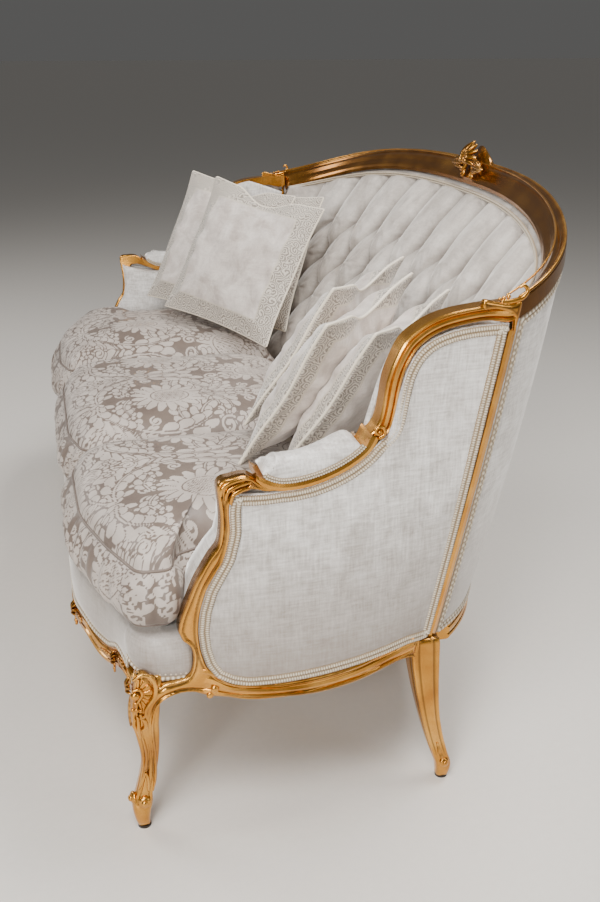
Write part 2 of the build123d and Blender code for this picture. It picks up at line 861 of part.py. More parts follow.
def inner_end(t):
    z = blend_between(back_base_level, back_top_level(1), t)
    y = blend_between(inner_end_y, back_end_y, smooth(inner_end_shares, t))
    return y, z


def back_face(s, t):
    # untufted face of the padded back: s runs from end to end, t from the deck to the crest
    z = blend_between(back_base_level, back_top_level(s), t)
    middle = blend_between(inner_middle_y, inner_top_y, smooth(inner_middle_shares, t))
    end, end_z = inner_end(t)
    half = inner_x(end, end_z) - cloth_gap
    top_half = crest_end_half_width - crest_width - cloth_gap
    half = blend_between(half, min(half, top_half), t)
    return (s * half, middle - (middle - end) * plan_share(s), z)


# Tufting: buttons on a diamond grid, valleys between them, pleats from the top row to the crest
tuft_top_share = 0.80
tuft_foot_share = 0.20
tuft_end_share = 0.90
tuft_row_step = (tuft_top_share - tuft_foot_share) / (tuft_rows - 1)
tuft_column_step = 2 * tuft_end_share / (tuft_columns - 1)


def tuft_dent(s, t):
    # depth share of the surface under its crown, from 0 to 1
    a = s / tuft_column_step
    b = (tuft_top_share - t) / tuft_row_step
    if b < 0:
        pleat = abs(math.cos(math.pi * a)) ** 6
        return clamp(1 - 0.55 * (-b) / ((1 - tuft_top_share) / tuft_row_step)) * pleat
    if b > tuft_rows - 1:
        row = tuft_rows - 1
        shift = 0.5 * (row % 2)
        pleat = abs(math.cos(math.pi * (a - shift))) ** 6
        return clamp(1 - (b - row)) * pleat
    p = math.cos(math.pi * (a + 0.5 * b))
    q = math.cos(math.pi * (a - 0.5 * b))
    valley = max(abs(p), abs(q))
    button = abs(p * q)
    return clamp(0.55 * valley**8 + 0.6 * button**3)


def edge_fade(s, t):
    # the dents die out at the border of the pad
    side = clamp((1 - abs(s)) / 0.05)
    top = clamp((1 - t) / 0.04)
    foot = clamp(t / 0.08)
    return min(side, top, foot)


def tufted_face(s, t):
    x, y, z = back_face(s, t)
    dent = tuft_depth * tuft_dent(s, t) * edge_fade(s, t)
    return (x, y + dent, z)


def back_pad_rear(s, t):
    x, y, z = back_face(s, t)
    thickness = blend_between(back_pad_thickness, back_pad_edge_thickness, t**1.5)
    corner = abs(s) ** 6
    return (x * (1 - 0.03 * corner), y + thickness * (1 - 0.35 * corner), z)


back_columns = 61
back_rows = 25
tuft_tolerance = 1.0
front_grid = []
rear_grid = []
for t in spread(0, 1, back_rows):
    front_grid.append([tufted_face(s, t) for s in spread(-1, 1, back_columns)])
    rear_grid.append([back_pad_rear(s, t) for s in spread(-1, 1, back_columns)])
pad_solid = surface_solid(front_grid, rear_grid, tuft_tolerance)
add("back_pad", pad_solid)

buttons = []
button_stand = 6.0
half_count = (tuft_columns - 1) // 2
for row in range(tuft_rows):
    t = tuft_top_share - row * tuft_row_step
    shift = 0.5 * (row % 2)
    for k in range(half_count + 1):
        s = (k + shift) * tuft_column_step
        if s > tuft_end_share:
            continue
        x, y, z = tufted_face(s, t)
        above, below = back_face(s, t + tuft_row_step * 0.1), back_face(s, t - tuft_row_step * 0.1)
        slope = math.degrees(math.atan2(above[1] - below[1], above[2] - below[2]))
        cut_level = -0.2 * button_radius
        cutter = block(
            (-2 * button_radius, -2 * button_radius, -2 * button_radius),
            (2 * button_radius, 2 * button_radius, cut_level),
        )
        head = single(Solid.make_sphere(button_radius, angle1=-90).cut(cutter))
        head = head.translate(Vector(0, 0, button_stand - cut_level))
        # each button starts clear of the pad and is then brought up to its real surface
        turn = Rot(90 - slope, 0, 0)
        head = Pos(x, y, z) * turn * head
        gap = head.distance_to(pad_solid) - joint_gap
        outward = (turn * Pos(0, 0, 1)).position
        head = head.translate(outward * -gap)
        buttons.append(head)
        if s > 0:
            buttons.append(mirrored(head))
add("back_tuft_buttons", *buttons)

# Uprights between the padded back and its outer cover
upright_width = 40.0
upright_depth = 44.0
upright_x = 250.0
upright_head_level = crest_top(upright_x) - crest_face_height - 3 * soft_gap
upright_stations = 9
upright_clearance = 2.0


def pad_rear_y(x, z):
    s = 0.0
    t = 0.0
    for attempt in range(4):
        t = clamp((z - back_base_level) / (back_top_level(s) - back_base_level))
        s = x / back_face(1, t)[0]
    return back_pad_rear(s, t)[1]


uprights = []
for side in (-1, 1):
    sections = []
    for z in spread(rail_top + joint_gap, upright_head_level, upright_stations):
        far = upright_x + 0.5 * upright_width
        near = upright_x - 0.5 * upright_width
        rear = back_y(far, z) - cover_thickness - upright_clearance
        front = max(rear - upright_depth, pad_rear_y(near, z) + upright_clearance)
        corners = [(near, front), (far, front), (far, rear), (near, rear)]
        sections.append(polygon([(side * x, y, z) for x, y in corners]))
    uprights.append(Solid.make_loft(sections, ruled=True))
add("back_uprights", *uprights)

# Back cover: outer velvet between the rear posts
back_cover_foot = back_rail_show + cloth_gap
back_cover_columns = 61
back_cover_rows = 12
cover_end_inset = 7.5


def outward_normal(x, z):
    step = slope_step
    limit = rear_half_width(z) - step
    at = max(-limit, min(limit, x))
    slope = (back_y(at + step, z) - back_y(at - step, z)) / (2 * step)
    length = math.hypot(slope, 1)
    return (-slope / length, 1 / length)


outer_grid = []
inner_grid = []
for t in spread(0, 1, back_cover_rows):
    outer_row = []
    inner_row = []
    for s in spread(-1, 1, back_cover_columns):
        reach = (crest_end_half_width - cover_end_inset) * s
        head = crest_top(reach) - crest_rear_height - 4 * soft_gap
        z = blend_between(back_cover_foot, head, t)
        x = s * (rear_half_width(min(z, crest_end_level)) - cover_end_inset)
        y = back_y(x, z)
        nx, ny = outward_normal(x, z)
        outer_row.append((x, y, z))
        inner_row.append((x - nx * cover_thickness, y - ny * cover_thickness, z))
    outer_grid.append(outer_row)
    inner_grid.append(inner_row)
add("back_cover", surface_solid(outer_grid, inner_grid, surface_tolerance))


# Inner side pads: from behind the arm post to the padded back
pad_post_inset = 8.0
pad_head_drop = 14.0
pad_wing_inset = 5.0


def pad_bottom(u):
    return (blend_between(pad_front(0)[0], inner_end(0)[0] - soft_gap, u), pad_foot_level)


def pad_front(v):
    z = blend_between(pad_foot_level, arm_edge_level - pad_head_drop, v)
    return (arm_front_y(z) + pad_post_inset, z)


def pad_rear(v):
    y, z = inner_end(blend_between(0, 0.97, v))
    return (y - soft_gap, z)


def pad_top(u):
    def arm_edge(share):
        y, z = arm_low(blend_between(0.02, 0.97, share))
        return (y, z - soft_gap)

    def wing_edge(share):
        y, z = table_point(wing_outer_shares, blend_between(0.10, 0.93, share))
        return (y + pad_wing_inset * (1 - share), z - pad_wing_inset)

    raw = top_edge(u, arm_edge, wing_edge)
    first, last = pad_front(1), pad_rear(1)
    start = top_edge(0, arm_edge, wing_edge)
    end = top_edge(1, arm_edge, wing_edge)
    near_start = max(0.0, 1 - u / 0.1)
    near_end = max(0.0, (u - 0.9) / 0.1)
    y = raw[0] + (first[0] - start[0]) * near_start + (last[0] - end[0]) * near_end
    z = raw[1] + (first[1] - start[1]) * near_start + (last[1] - end[1]) * near_end
    return (y, z)


outer_grid = []
inner_grid = []
pad_edge_round = 9.0
for v in spread(0, 1, cover_rows):
    outer_row = []
    inner_row = []
    for u in spread(0, 1, cover_columns):
        y, z = side_patch(pad_bottom, pad_top, pad_front, pad_rear, u, v)
        edge = min(u / 0.06, (1 - v) / 0.08, 1.0)
        ease = 1 - (1 - edge) ** 2
        outer_row.append((pad_outer_x(y, z), y, z))
        inner = min(inner_x(y, z) + pad_edge_round * (1 - ease), pad_outer_x(y, z) - 2 * soft_gap)
        inner_row.append((inner, y, z))
    outer_grid.append(outer_row)
    inner_grid.append(inner_row)
add_pair("inner_side_pad", surface_solid(outer_grid, inner_grid, surface_tolerance))


# Seat border: padded front on the front rail, returned along the sides to the arm posts
border_base = rail_top + 2 * webbing_thickness + 3 * joint_gap
border_shares = [
    (0.0, 0.0), (-0.7, 0.12), (-1.0, 0.35), (-1.0, 0.6), (-0.75, 0.82), (-0.2, 0.95), (0.6, 1.0),
]


def border_section(x, y, nx, ny, low):
    # section at a point of the plan edge with its outward direction
    points = []
    for out, up in border_shares:
        reach = -border_swell * out
        points.append((x + nx * reach, y + ny * reach, blend_between(low, border_level, up)))
    inner = -border_thickness
    points.append((x + nx * inner, y + ny * inner, border_level))
    points.append((x + nx * inner, y + ny * inner, border_base))
    step = -cover_step + soft_gap
    points.append((x + nx * step, y + ny * step, border_base))
    points.append((x + nx * step, y + ny * step, low))
    return polygon(points)


corner_centre_x = 815.0
corner_centre_y = -378.0
border_side_end_y = -352.0
border_half_sections = []
for x in spread(0, corner_centre_x, 31):
    low = front_rail_high(min(x, front_rail_half)) + 2 * soft_gap
    border_half_sections.append((x, front_edge_y(x), 0.0, -1.0, low))
corner_radius_x = side_x(border_side_end_y, rail_top) - corner_centre_x
corner_radius_y = corner_centre_y - front_edge_y(corner_centre_x)
for angle in (18, 36, 54, 72, 90):
    c, s = math.cos(math.radians(angle)), math.sin(math.radians(angle))
    x = corner_centre_x + corner_radius_x * s
    y = corner_centre_y - corner_radius_y * c
    border_half_sections.append((x, y, s, -c, rail_top + cloth_gap))
border_end_x = side_x(border_side_end_y, rail_top)
border_half_sections.append((border_end_x, border_side_end_y, 1.0, 0.0, rail_top + cloth_gap))
right_half = [border_section(*place) for place in border_half_sections]
left_half = [border_section(-x, y, -nx, ny, low) for x, y, nx, ny, low in border_half_sections[1:]]
border_sections = list(reversed(left_half)) + right_half
add("seat_border", Solid.make_loft(border_sections, ruled=True))

# Seat deck and webbing
deck_base = border_base
deck_half_width = inner_x(side_front_y, pad_foot_level) - deck_side_gap
deck_rear_shares = [(0.0, 0.0), (0.4, 0.10), (0.7, 0.33), (0.88, 0.62), (1.0, 1.0)]
deck_front_y = front_y + border_thickness + soft_gap
deck_points = []
for share in spread(-1, 1, 17):
    sweep = smooth(deck_rear_shares, abs(share))
    y = blend_between(inner_middle_y, inner_end_y, sweep) - 3 * soft_gap
    deck_points.append((share * deck_half_width, y, deck_base))
deck_front_half = deck_half_width - 2 * border_thickness - 2 * soft_gap
deck_outline = deck_points + [
    (deck_half_width, front_corner_y + border_thickness + soft_gap, deck_base),
    (deck_front_half, deck_front_y + 0.25 * front_sweep, deck_base),
    (0.5 * deck_front_half, deck_front_y, deck_base),
    (-0.5 * deck_front_half, deck_front_y, deck_base),
    (-deck_front_half, deck_front_y + 0.25 * front_sweep, deck_base),
    (-deck_half_width, front_corner_y + border_thickness + soft_gap, deck_base),
]
add("seat_deck", Solid.extrude(Face(polygon(deck_outline)), Vector(0, 0, border_level - deck_base)))

lengthwise_ys = (-245.0, -165.0, -85.0, -5.0)
lengthwise = []
for y in lengthwise_ys:
    reach = side_x(y, rail_top) - cover_step - 0.3 * side_rail_thickness
    low = (-reach, y - 0.5 * webbing_width, rail_top + joint_gap)
    high = (reach, y + 0.5 * webbing_width, rail_top + joint_gap + webbing_thickness)
    lengthwise.append(block(low, high))
add("seat_webbing_lengthwise", *lengthwise)

crosswise_count = 12
crosswise_half = 690.0
crosswise = []
for x in spread(-crosswise_half, crosswise_half, crosswise_count):
    edge = abs(x) + 0.5 * webbing_width
    front_end = front_edge_y(edge) + 0.6 * front_rail_thickness
    rear_end = back_y(edge, rail_level) - cover_step - 0.4 * back_rail_thickness
    base = rail_top + 2 * joint_gap + webbing_thickness
    low = (x - 0.5 * webbing_width, front_end, base)
    high = (x + 0.5 * webbing_width, rear_end, base + webbing_thickness)
    crosswise.append(block(low, high))
add("seat_webbing_crosswise", *crosswise)


# Seat cushions: stacked outlines, drawn in at the seams and crowned on top
cushion_levels_shares = [
    (0.0, 0.945), (0.06, 0.975), (0.22, 0.998), (0.45, 1.0), (0.62, 0.99), (0.70, 0.965), (0.78, 0.94),
    (0.86, 0.84), (0.93, 0.66), (0.98, 0.40), (1.0, 0.16),
]
cushion_outline_count = 44


def rounded_outline(corners, radius_share, count):
    # closed outline through the corners, each rounded, with evenly spread points
    total = []
    n = len(corners)
    for k in range(n):
        ax, ay = corners[k - 1]
        bx, by = corners[k]
        cx, cy = corners[(k + 1) % n]
        la = math.hypot(bx - ax, by - ay)
        lc = math.hypot(cx - bx, cy - by)
        cut = radius_share * min(la, lc)
        p = (bx + (ax - bx) * cut / la, by + (ay - by) * cut / la)
        q = (bx + (cx - bx) * cut / lc, by + (cy - by) * cut / lc)
        for share in spread(0, 1, 7):
            u = 1 - share
            x = u * u * p[0] + 2 * u * share * bx + share * share * q[0]
            y = u * u * p[1] + 2 * u * share * by + share * share * q[1]
            total.append((x, y))
    lengths = [0.0]
    for k in range(len(total)):
        x0, y0 = total[k]
        x1, y1 = total[(k + 1) % len(total)]
        lengths.append(lengths[-1] + math.hypot(x1 - x0, y1 - y0))
    points = []
    at = 0
    for k in range(count):
        goal = lengths[-1] * k / count
        while lengths[at + 1] < goal:
            at += 1
        share = (goal - lengths[at]) / max(lengths[at + 1] - lengths[at], joint_gap * 0.001)
        x0, y0 = total[at]
        x1, y1 = total[(at + 1) % len(total)]
        points.append((blend_between(x0, x1, share), blend_between(y0, y1, share)))
    return points


def closed_spline(points):
    return Wire([Spline(points, periodic=True)])


def cushion(corners, centre):
    outline = rounded_outline(corners, 0.28, cushion_outline_count)
    sections = []
    for up, size in cushion_levels_shares:
        z = cushion_base + cushion_height * up
        points = []
        for x, y in outline:
            points.append((blend_between(centre[0], x, size), blend_between(centre[1], y, size), z))
        sections.append(closed_spline(points))
    return Solid.make_loft(sections, ruled=True)


half_gap = soft_gap * 0.75
cushion_top = cushion_base + cushion_height
cushion_half_width = side_x(side_front_y, cushion_top) - cushion_side_depth
cushion_ear_half_width = cushion_half_width + cushion_ear_reach
cushion_corner_step = 30.0
cushion_front_run = 90.0
cushion_shoulder = (177.0, 6.0)
cushion_turn = (37.0, 62.0)
cushion_ear_depth = 60.0
cushion_ear_step = 2.0
cushion_rear_turn = (97.0, 34.0)
cushion_rear_run = (277.0, 10.0)
middle_half = cushion_split - half_gap
middle_corners = [
    (-middle_half, cushion_rear_y), (-middle_half, cushion_front_y + cushion_corner_step),
    (-0.6 * middle_half, cushion_front_y), (0.6 * middle_half, cushion_front_y),
    (middle_half, cushion_front_y + cushion_corner_step), (middle_half, cushion_rear_y),
]
cushion_middle_y = 0.5 * (cushion_front_y + cushion_rear_y)
add("seat_cushion_center", cushion(middle_corners, (0.0, cushion_middle_y)))
end_left = cushion_split + half_gap
end_corners = [
    (end_left, cushion_rear_y), (end_left, cushion_front_y + cushion_corner_step),
    (end_left + cushion_front_run, cushion_front_y),
    (cushion_half_width - cushion_shoulder[0], cushion_front_y + cushion_shoulder[1]),
    (cushion_half_width - cushion_turn[0], cushion_front_y + cushion_turn[1]),
    (cushion_ear_half_width, cushion_ear_y - cushion_ear_depth),
    (cushion_ear_half_width, cushion_ear_y), (cushion_half_width, cushion_ear_y + cushion_ear_step),
    (cushion_half_width, cushion_corner_rear_y),
    (cushion_half_width - cushion_rear_turn[0], cushion_rear_y - cushion_rear_turn[1]),
    (cushion_half_width - cushion_rear_run[0], cushion_rear_y - cushion_rear_run[1]),
]
end_centre = (0.5 * (end_left + cushion_half_width), cushion_middle_y)
add_pair("seat_cushion", cushion(end_corners, end_centre))


# Scatter pillows: pinched corners, flat flange, a dented top edge
pillow_outline_count = 48
pillow_level_shares = [(0.34, 0.5), (0.62, 0.44), (0.76, 0.22)]


def pillow_outline(size_share, chop):
    points = []
    half = 0.5 * pillow_size * size_share
    for k in range(pillow_outline_count):
        angle = 2 * math.pi * (k + 0.5) / pillow_outline_count
        c, s = math.cos(angle), math.sin(angle)
        reach = 1 / max(abs(c), abs(s))
        a, b = c * reach, s * reach
        pinch = 1 - 0.05 * (1 - (a * b) ** 2)
        dent = chop * max(0.0, 1 - (a / 0.5) ** 2) ** 2 if b > 0.9 else 0.0
        points.append((half * a * pinch, half * b * pinch - dent * size_share))
    return points


def pillow(place, chop, scale_share):
    levels = []
    for size, thick in pillow_level_shares:
        levels.append((size * scale_share, -thick * pillow_thickness))
    flange = 0.5 * pillow_flange_thickness
    inner_share = scale_share - 2 * pillow_flange / pillow_size
    levels.append((inner_share, -flange))
    levels.append((scale_share, -flange))
    rows = levels + [(size, -depth) for size, depth in reversed(levels)]
    sections = []
    for size, depth in rows:
        sections.append(closed_spline([(x, y, depth) for x, y in pillow_outline(size, chop)]))
    return single(place * Solid.make_loft(sections, ruled=True))


def pillow_place(x, y, z, heading, lean, roll):
    # the face looks towards -Y at heading 0, leans back by lean, and turns in its own plane by roll
    return Pos(x, y, z) * Rot(0, 0, heading) * Rot(90 - lean, 0, 0) * Rot(0, 0, roll)


pillow_chop = 26.0
pillow_places_shares = {
    "scatter_pillow_left_back": (-0.7642, 0.1250, 0.4554, 40.0, 27.6, 0.0, 1.00),
    "scatter_pillow_left_middle": (-0.7729, -0.0500, 0.5258, 40.0, 27.6, -6.3, 1.00),
    "scatter_pillow_left_front": (-0.5541, 0.0160, 0.5199, 40.0, 27.6, -8.5, 1.00),
    "scatter_pillow_right_back": (0.7447, 0.1004, 0.4260, -41.4, 33.4, 0.0, 0.91),
    "scatter_pillow_right_middle": (0.6813, -0.0144, 0.4719, -41.4, 33.4, -4.0, 0.91),
    "scatter_pillow_right_front": (0.4454, 0.0769, 0.4796, -41.4, 33.4, 1.0, 0.91),
}
for name, (x, y, z, heading, lean, roll, size) in pillow_places_shares.items():
    place = pillow_place(
        x * cushion_half_width, y * -cushion_front_y, cushion_top + z * pillow_size, heading, lean, roll
    )
    add(name, pillow(place, pillow_chop, size))

os.makedirs("parts", exist_ok=True)
for name, solids in parts.items():
    shape = solids[0] if len(solids) == 1 else Compound(children=list(solids))
    export_step(shape, os.path.join("parts", name + ".step"))
print(len(parts), "nodes")
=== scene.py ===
import bpy
import math
import numpy as np
from mathutils import Matrix, Vector


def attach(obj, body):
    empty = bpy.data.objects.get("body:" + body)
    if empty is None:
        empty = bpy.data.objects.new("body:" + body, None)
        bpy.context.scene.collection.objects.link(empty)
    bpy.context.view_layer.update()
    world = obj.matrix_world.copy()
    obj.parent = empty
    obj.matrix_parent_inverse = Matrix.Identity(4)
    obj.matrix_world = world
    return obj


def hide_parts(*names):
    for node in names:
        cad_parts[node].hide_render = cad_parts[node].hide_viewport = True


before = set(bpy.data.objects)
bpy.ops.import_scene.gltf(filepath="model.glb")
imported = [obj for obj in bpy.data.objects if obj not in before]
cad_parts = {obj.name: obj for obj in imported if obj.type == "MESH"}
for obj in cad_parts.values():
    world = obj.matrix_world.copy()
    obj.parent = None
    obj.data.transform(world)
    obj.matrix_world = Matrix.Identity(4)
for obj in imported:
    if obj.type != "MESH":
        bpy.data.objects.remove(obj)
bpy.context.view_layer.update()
coarse = 1.0
print("frame loaded")


# small helpers: numbers
def mix(low, high, share):
    return low + (high - low) * share


def clip01(value):
    return np.clip(value, 0.0, 1.0)


def easeStep(low, high, value):  # 0 below low, 1 above high, smooth between
    t = clip01((value - low) / (high - low))
    return t * t * (3 - 2 * t)


def smoothTable(table, at):  # cubic through the table's points, with the slope of the neighbours
    xs, ys = np.array(table, float).T
    at = np.asarray(at, float)
    k = np.clip(np.searchsorted(xs, at, side="right") - 1, 0, len(xs) - 2)
    a, b = np.maximum(k - 1, 0), np.minimum(k + 2, len(xs) - 1)
    slope0 = (ys[k + 1] - ys[a]) / (xs[k + 1] - xs[a])
    slope1 = (ys[b] - ys[k]) / (xs[b] - xs[k])
    run = xs[k + 1] - xs[k]
    t = (at - xs[k]) / run
    stay = 2 * t**3 - 3 * t**2 + 1
    bend = (t**3 - 2 * t**2 + t) * run * slope0 + (t**3 - t**2) * run * slope1
    return stay * ys[k] + (1 - stay) * ys[k + 1] + bend


def steps(low, high, count):
    return np.linspace(low, high, max(int(count), 2))


def unit(v):
    return v / np.maximum(np.linalg.norm(v, axis=-1, keepdims=True), 1e-12)


def stack3(x, y, z):
    return np.stack(np.broadcast_arrays(x, y, z), axis=-1).astype(float)


# small helpers: meshes
def newStore():
    return {"points": [], "quads": [], "tris": [], "uv": [], "tone": [], "count": 0}


def addGrid(store, points, wrapRows=False, wrapColumns=False, uv=None, tone=None, capEnds=False):
    # a grid of points (rows x columns) joined into quads; capEnds closes the first and last row with one point each
    rows, columns = points.shape[:2]
    base = store["count"]
    index = base + np.arange(rows * columns).reshape(rows, columns)
    r0 = np.arange(rows if wrapRows else rows - 1)
    c0 = np.arange(columns if wrapColumns else columns - 1)
    r1, c1 = (r0 + 1) % rows, (c0 + 1) % columns
    quads = np.stack([index[np.ix_(r0, c0)], index[np.ix_(r0, c1)], index[np.ix_(r1, c1)], index[np.ix_(r1, c0)]], -1)
    uv = np.zeros(points.shape[:2] + (2,)) if uv is None else uv
    tone = np.zeros(points.shape[:2]) if tone is None else tone
    allPoints, allUv, allTone = [points.reshape(-1, 3)], [uv.reshape(-1, 2)], [tone.reshape(-1)]
    extra = base + rows * columns
    for row, turn in ((0, True), (rows - 1, False)) if capEnds else ():
        ring = index[row]
        allPoints.append(points[row].mean(0)[None])
        allUv.append(uv[row].mean(0)[None])
        allTone.append(np.array([tone[row].mean()]))
        ahead = np.roll(ring, -1)
        middle = np.full(len(ring), extra)
        tris = np.stack([ahead, ring, middle], -1) if turn else np.stack([ring, ahead, middle], -1)
        store["tris"].append(tris)
        extra += 1
    store["points"] += allPoints
    store["uv"] += allUv
    store["tone"] += allTone
    store["quads"].append(quads.reshape(-1, 4))
    store["count"] = extra


def addSlab(store, front, rear, uv=None, tone=None):
    # closed slab between two grids of the same shape: front and rear face, joined round the four edges
    rows, columns = front.shape[:2]
    uv = np.zeros(front.shape[:2] + (2,)) if uv is None else uv
    tone = np.zeros(front.shape[:2]) if tone is None else tone
    base = store["count"]
    size = rows * columns
    a = base + np.arange(size).reshape(rows, columns)
    b = a + size
    face = np.stack([a[:-1, :-1], a[:-1, 1:], a[1:, 1:], a[1:, :-1]], -1).reshape(-1, 4)
    back = np.stack([b[:-1, :-1], b[1:, :-1], b[1:, 1:], b[:-1, 1:]], -1).reshape(-1, 4)
    loopA = np.concatenate([a[0, :-1], a[:-1, -1], a[-1, :0:-1], a[:0:-1, 0]])
    loopB = loopA + size
    wall = np.stack([loopA, loopB, np.roll(loopB, -1), np.roll(loopA, -1)], -1)
    store["points"] += [front.reshape(-1, 3), rear.reshape(-1, 3)]
    store["uv"] += [uv.reshape(-1, 2)] * 2
    store["tone"] += [tone.reshape(-1)] * 2
    store["quads"] += [face, back, wall]
    store["count"] += 2 * size


def buildMesh(name, store, material, body):
    points = np.concatenate(store["points"])
    uv = np.concatenate(store["uv"])
    tone = np.concatenate(store["tone"])
    quads = np.concatenate(store["quads"]) if store["quads"] else np.zeros((0, 4), int)
    tris = np.concatenate(store["tris"]) if store["tris"] else np.zeros((0, 3), int)
    mesh = bpy.data.meshes.new(name)
    mesh.vertices.add(len(points))
    mesh.vertices.foreach_set("co", points.astype(np.float32).ravel())
    loops = np.concatenate([quads.ravel(), tris.ravel()]).astype(np.int32)
    starts = np.concatenate([np.arange(len(quads)) * 4, len(quads) * 4 + np.arange(len(tris)) * 3]).astype(np.int32)
    mesh.loops.add(len(loops))
    mesh.loops.foreach_set("vertex_index", loops)
    mesh.polygons.add(len(starts))
    mesh.polygons.foreach_set("loop_start", starts)
    layer = mesh.uv_layers.new(name="weave")
    layer.data.foreach_set("uv", uv[loops].astype(np.float32).ravel())
    attribute = mesh.attributes.new("tone", "FLOAT", "POINT")
    attribute.data.foreach_set("value", tone.astype(np.float32))
    mesh.update(calc_edges=True)
    mesh.validate()
    mesh.polygons.foreach_set("use_smooth", np.ones(len(mesh.polygons), bool))
    if volumeOf(points, quads, tris) < 0:
        mesh.flip_normals()
    mesh.materials.append(material)
    piece = bpy.data.objects.new(name, mesh)
    bpy.context.collection.objects.link(piece)
    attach(piece, body)
    return piece


def volumeOf(points, quads, tris):  # signed volume, which tells whether the faces point outwards
    t = np.concatenate([quads[:, [0, 1, 2]], quads[:, [0, 2, 3]], tris])
    a, b, c = points[t[:, 0]], points[t[:, 1]], points[t[:, 2]]
    return float(np.einsum("ij,ij->i", a, np.cross(b, c)).sum() / 6)


def pathFrames(path, normal, closed=False):
    # sideways and upward directions along a path whose upward normals are given
    tangent = unit(np.roll(path, -1, 0) - np.roll(path, 1, 0) if closed else np.gradient(path, axis=0))
    side = unit(np.cross(tangent, normal))
    return side, unit(np.cross(side, tangent))


def lengthsAlong(path):  # distance run along a path at each of its points
    return np.concatenate([[0], np.cumsum(np.linalg.norm(np.diff(path, axis=0), axis=1))])


def evenPath(path, spacing, closed=False):  # the same path with evenly spaced points
    path = np.concatenate([path, path[:1]]) if closed else path
    lengths = lengthsAlong(path)
    count = max(int(lengths[-1] / spacing), 3)
    at = np.linspace(0, lengths[-1], count + 1)
    if closed:
        at = at[:-1]
    return np.stack([np.interp(at, lengths, path[:, k]) for k in range(path.shape[1])], -1)


def addTube(store, path, normal, width, height, sides=10, closed=False):
    # elliptical tube carried along a path: width and height may change along it
    side, up = pathFrames(path, normal, closed)
    angle = np.arange(sides) * 2 * math.pi / sides
    x = np.broadcast_to(width, len(path))[:, None] * np.cos(angle)[None, :]
    y = np.broadcast_to(height, len(path))[:, None] * np.sin(angle)[None, :]
    points = path[:, None] + side[:, None] * x[..., None] + up[:, None] * y[..., None]
    uv = np.stack(np.broadcast_arrays(lengthsAlong(path)[:, None], angle[None, :] / (2 * math.pi)), -1)
    addGrid(store, points, wrapRows=closed, wrapColumns=True, uv=uv, capEnds=not closed)


# the sofa's own surfaces, in metres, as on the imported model
def planShare(s):  # sweep of the back at a share s of its half width
    return 0.64 * s**2 + 0.36 * np.abs(s) ** 10


def rearY(z):
    rise = z - 0.300
    return 0.112 + 0.2078 * rise - 0.0378 * rise**2 / 0.756


def rearHalf(z):
    return mix(0.840, 0.872, (z - 0.300) / 0.641)


def backMiddleY(z):
    rise = z - 0.300
    return 0.368 + 0.30 * rise - 0.096 * rise**2 / 0.756


def backY(x, z):
    middle = backMiddleY(z)
    return middle - (middle - rearY(z)) * planShare(x / rearHalf(z))


def sideShare(y, z):
    return (y + 0.310) / (rearY(z) + 0.310)


def sideX(y, z):  # outer face of the side: bowed at the rail, hollow at the wing
    front = mix(0.886, 0.945, (z - 0.300) / 0.397)
    t = sideShare(y, z)
    bow = mix(0.045, -0.020, clip01((z - 0.300) / 0.440))
    return mix(front, rearHalf(z), t) + 4 * bow * t * (1 - t)


def innerX(y, z):
    low = clip01((z - 0.500) / 0.197)
    front = mix(0.105, 0.060, low)
    rear = mix(0.066, 0.048, low)
    return sideX(y, z) - mix(front, rear, clip01(sideShare(y, z)))


def crestTop(x):
    return 1.056 - 0.115 * (np.abs(x) / 0.872) ** 3.3


railShape = {  # shares of the front rail's edges and of its plan
    "frontHigh": [(0.0, 0.60), (0.1, 0.68), (0.25, 0.74), (0.42, 0.66), (0.55, 0.52), (0.62, 0.52), (0.72, 0.65),
                  (0.79, 0.55), (0.85, 0.58), (0.9, 0.77), (0.95, 0.74), (1.0, 0.68)],
    "frontLow": [(0.0, 0.02), (0.1, 0.13), (0.25, 0.25), (0.42, 0.2), (0.55, 0.03), (0.62, 0.0), (0.72, 0.2),
                 (0.79, 0.07), (0.85, 0.12), (0.9, 0.3), (1.0, 0.34)],
    "frontPlan": [(-1.2, 1.1), (-1.035, 1.03), (-0.95, 0.90), (-0.86, 0.65), (-0.71, 0.10), (-0.54, -0.05),
                  (0.0, 0.0), (0.54, -0.05), (0.71, 0.10), (0.86, 0.65), (0.95, 0.90), (1.035, 1.03), (1.2, 1.1)],
}
armShape = {
    "low": [(0.0, 0.0), (0.05, -0.30), (0.2, -0.64), (0.44, -0.66), (0.68, -0.36), (0.86, 0.10), (0.96, 0.55),
            (1.0, 0.95)],
    "wingOuter": [(-0.06, 0.046), (-0.005, 0.12), (0.024, 0.27), (0.035, 0.40), (0.06, 0.54), (0.105, 0.67),
                  (0.16, 0.78), (0.24, 0.855), (0.33, 0.91), (0.45, 0.955), (0.62, 0.985), (0.80, 1.0), (1.0, 0.998)],
    "wingInner": [(0.0, 0.0), (0.10, 0.07), (0.132, 0.25), (0.147, 0.37), (0.17, 0.50), (0.205, 0.60), (0.25, 0.685),
                  (0.31, 0.75), (0.385, 0.80), (0.485, 0.838), (0.63, 0.865), (0.80, 0.875), (1.0, 0.873)],
}


def frontEdgeY(x):
    return -0.508 + 0.081 * smoothTable(railShape["frontPlan"], x / 0.8381)


def frontRailHigh(x):
    return 0.238 + 0.096 * smoothTable(railShape["frontHigh"], np.minimum(np.abs(x) / 0.8381, 1.0))


def frontRailLow(x):
    return 0.238 + 0.096 * smoothTable(railShape["frontLow"], np.minimum(np.abs(x) / 0.8381, 1.0))


def armLow(share):  # lower edge of the arm rail, as y and z
    return np.stack([-0.224 + 0.214 * share, 0.685 + 0.040 * smoothTable(armShape["low"], share)], -1)


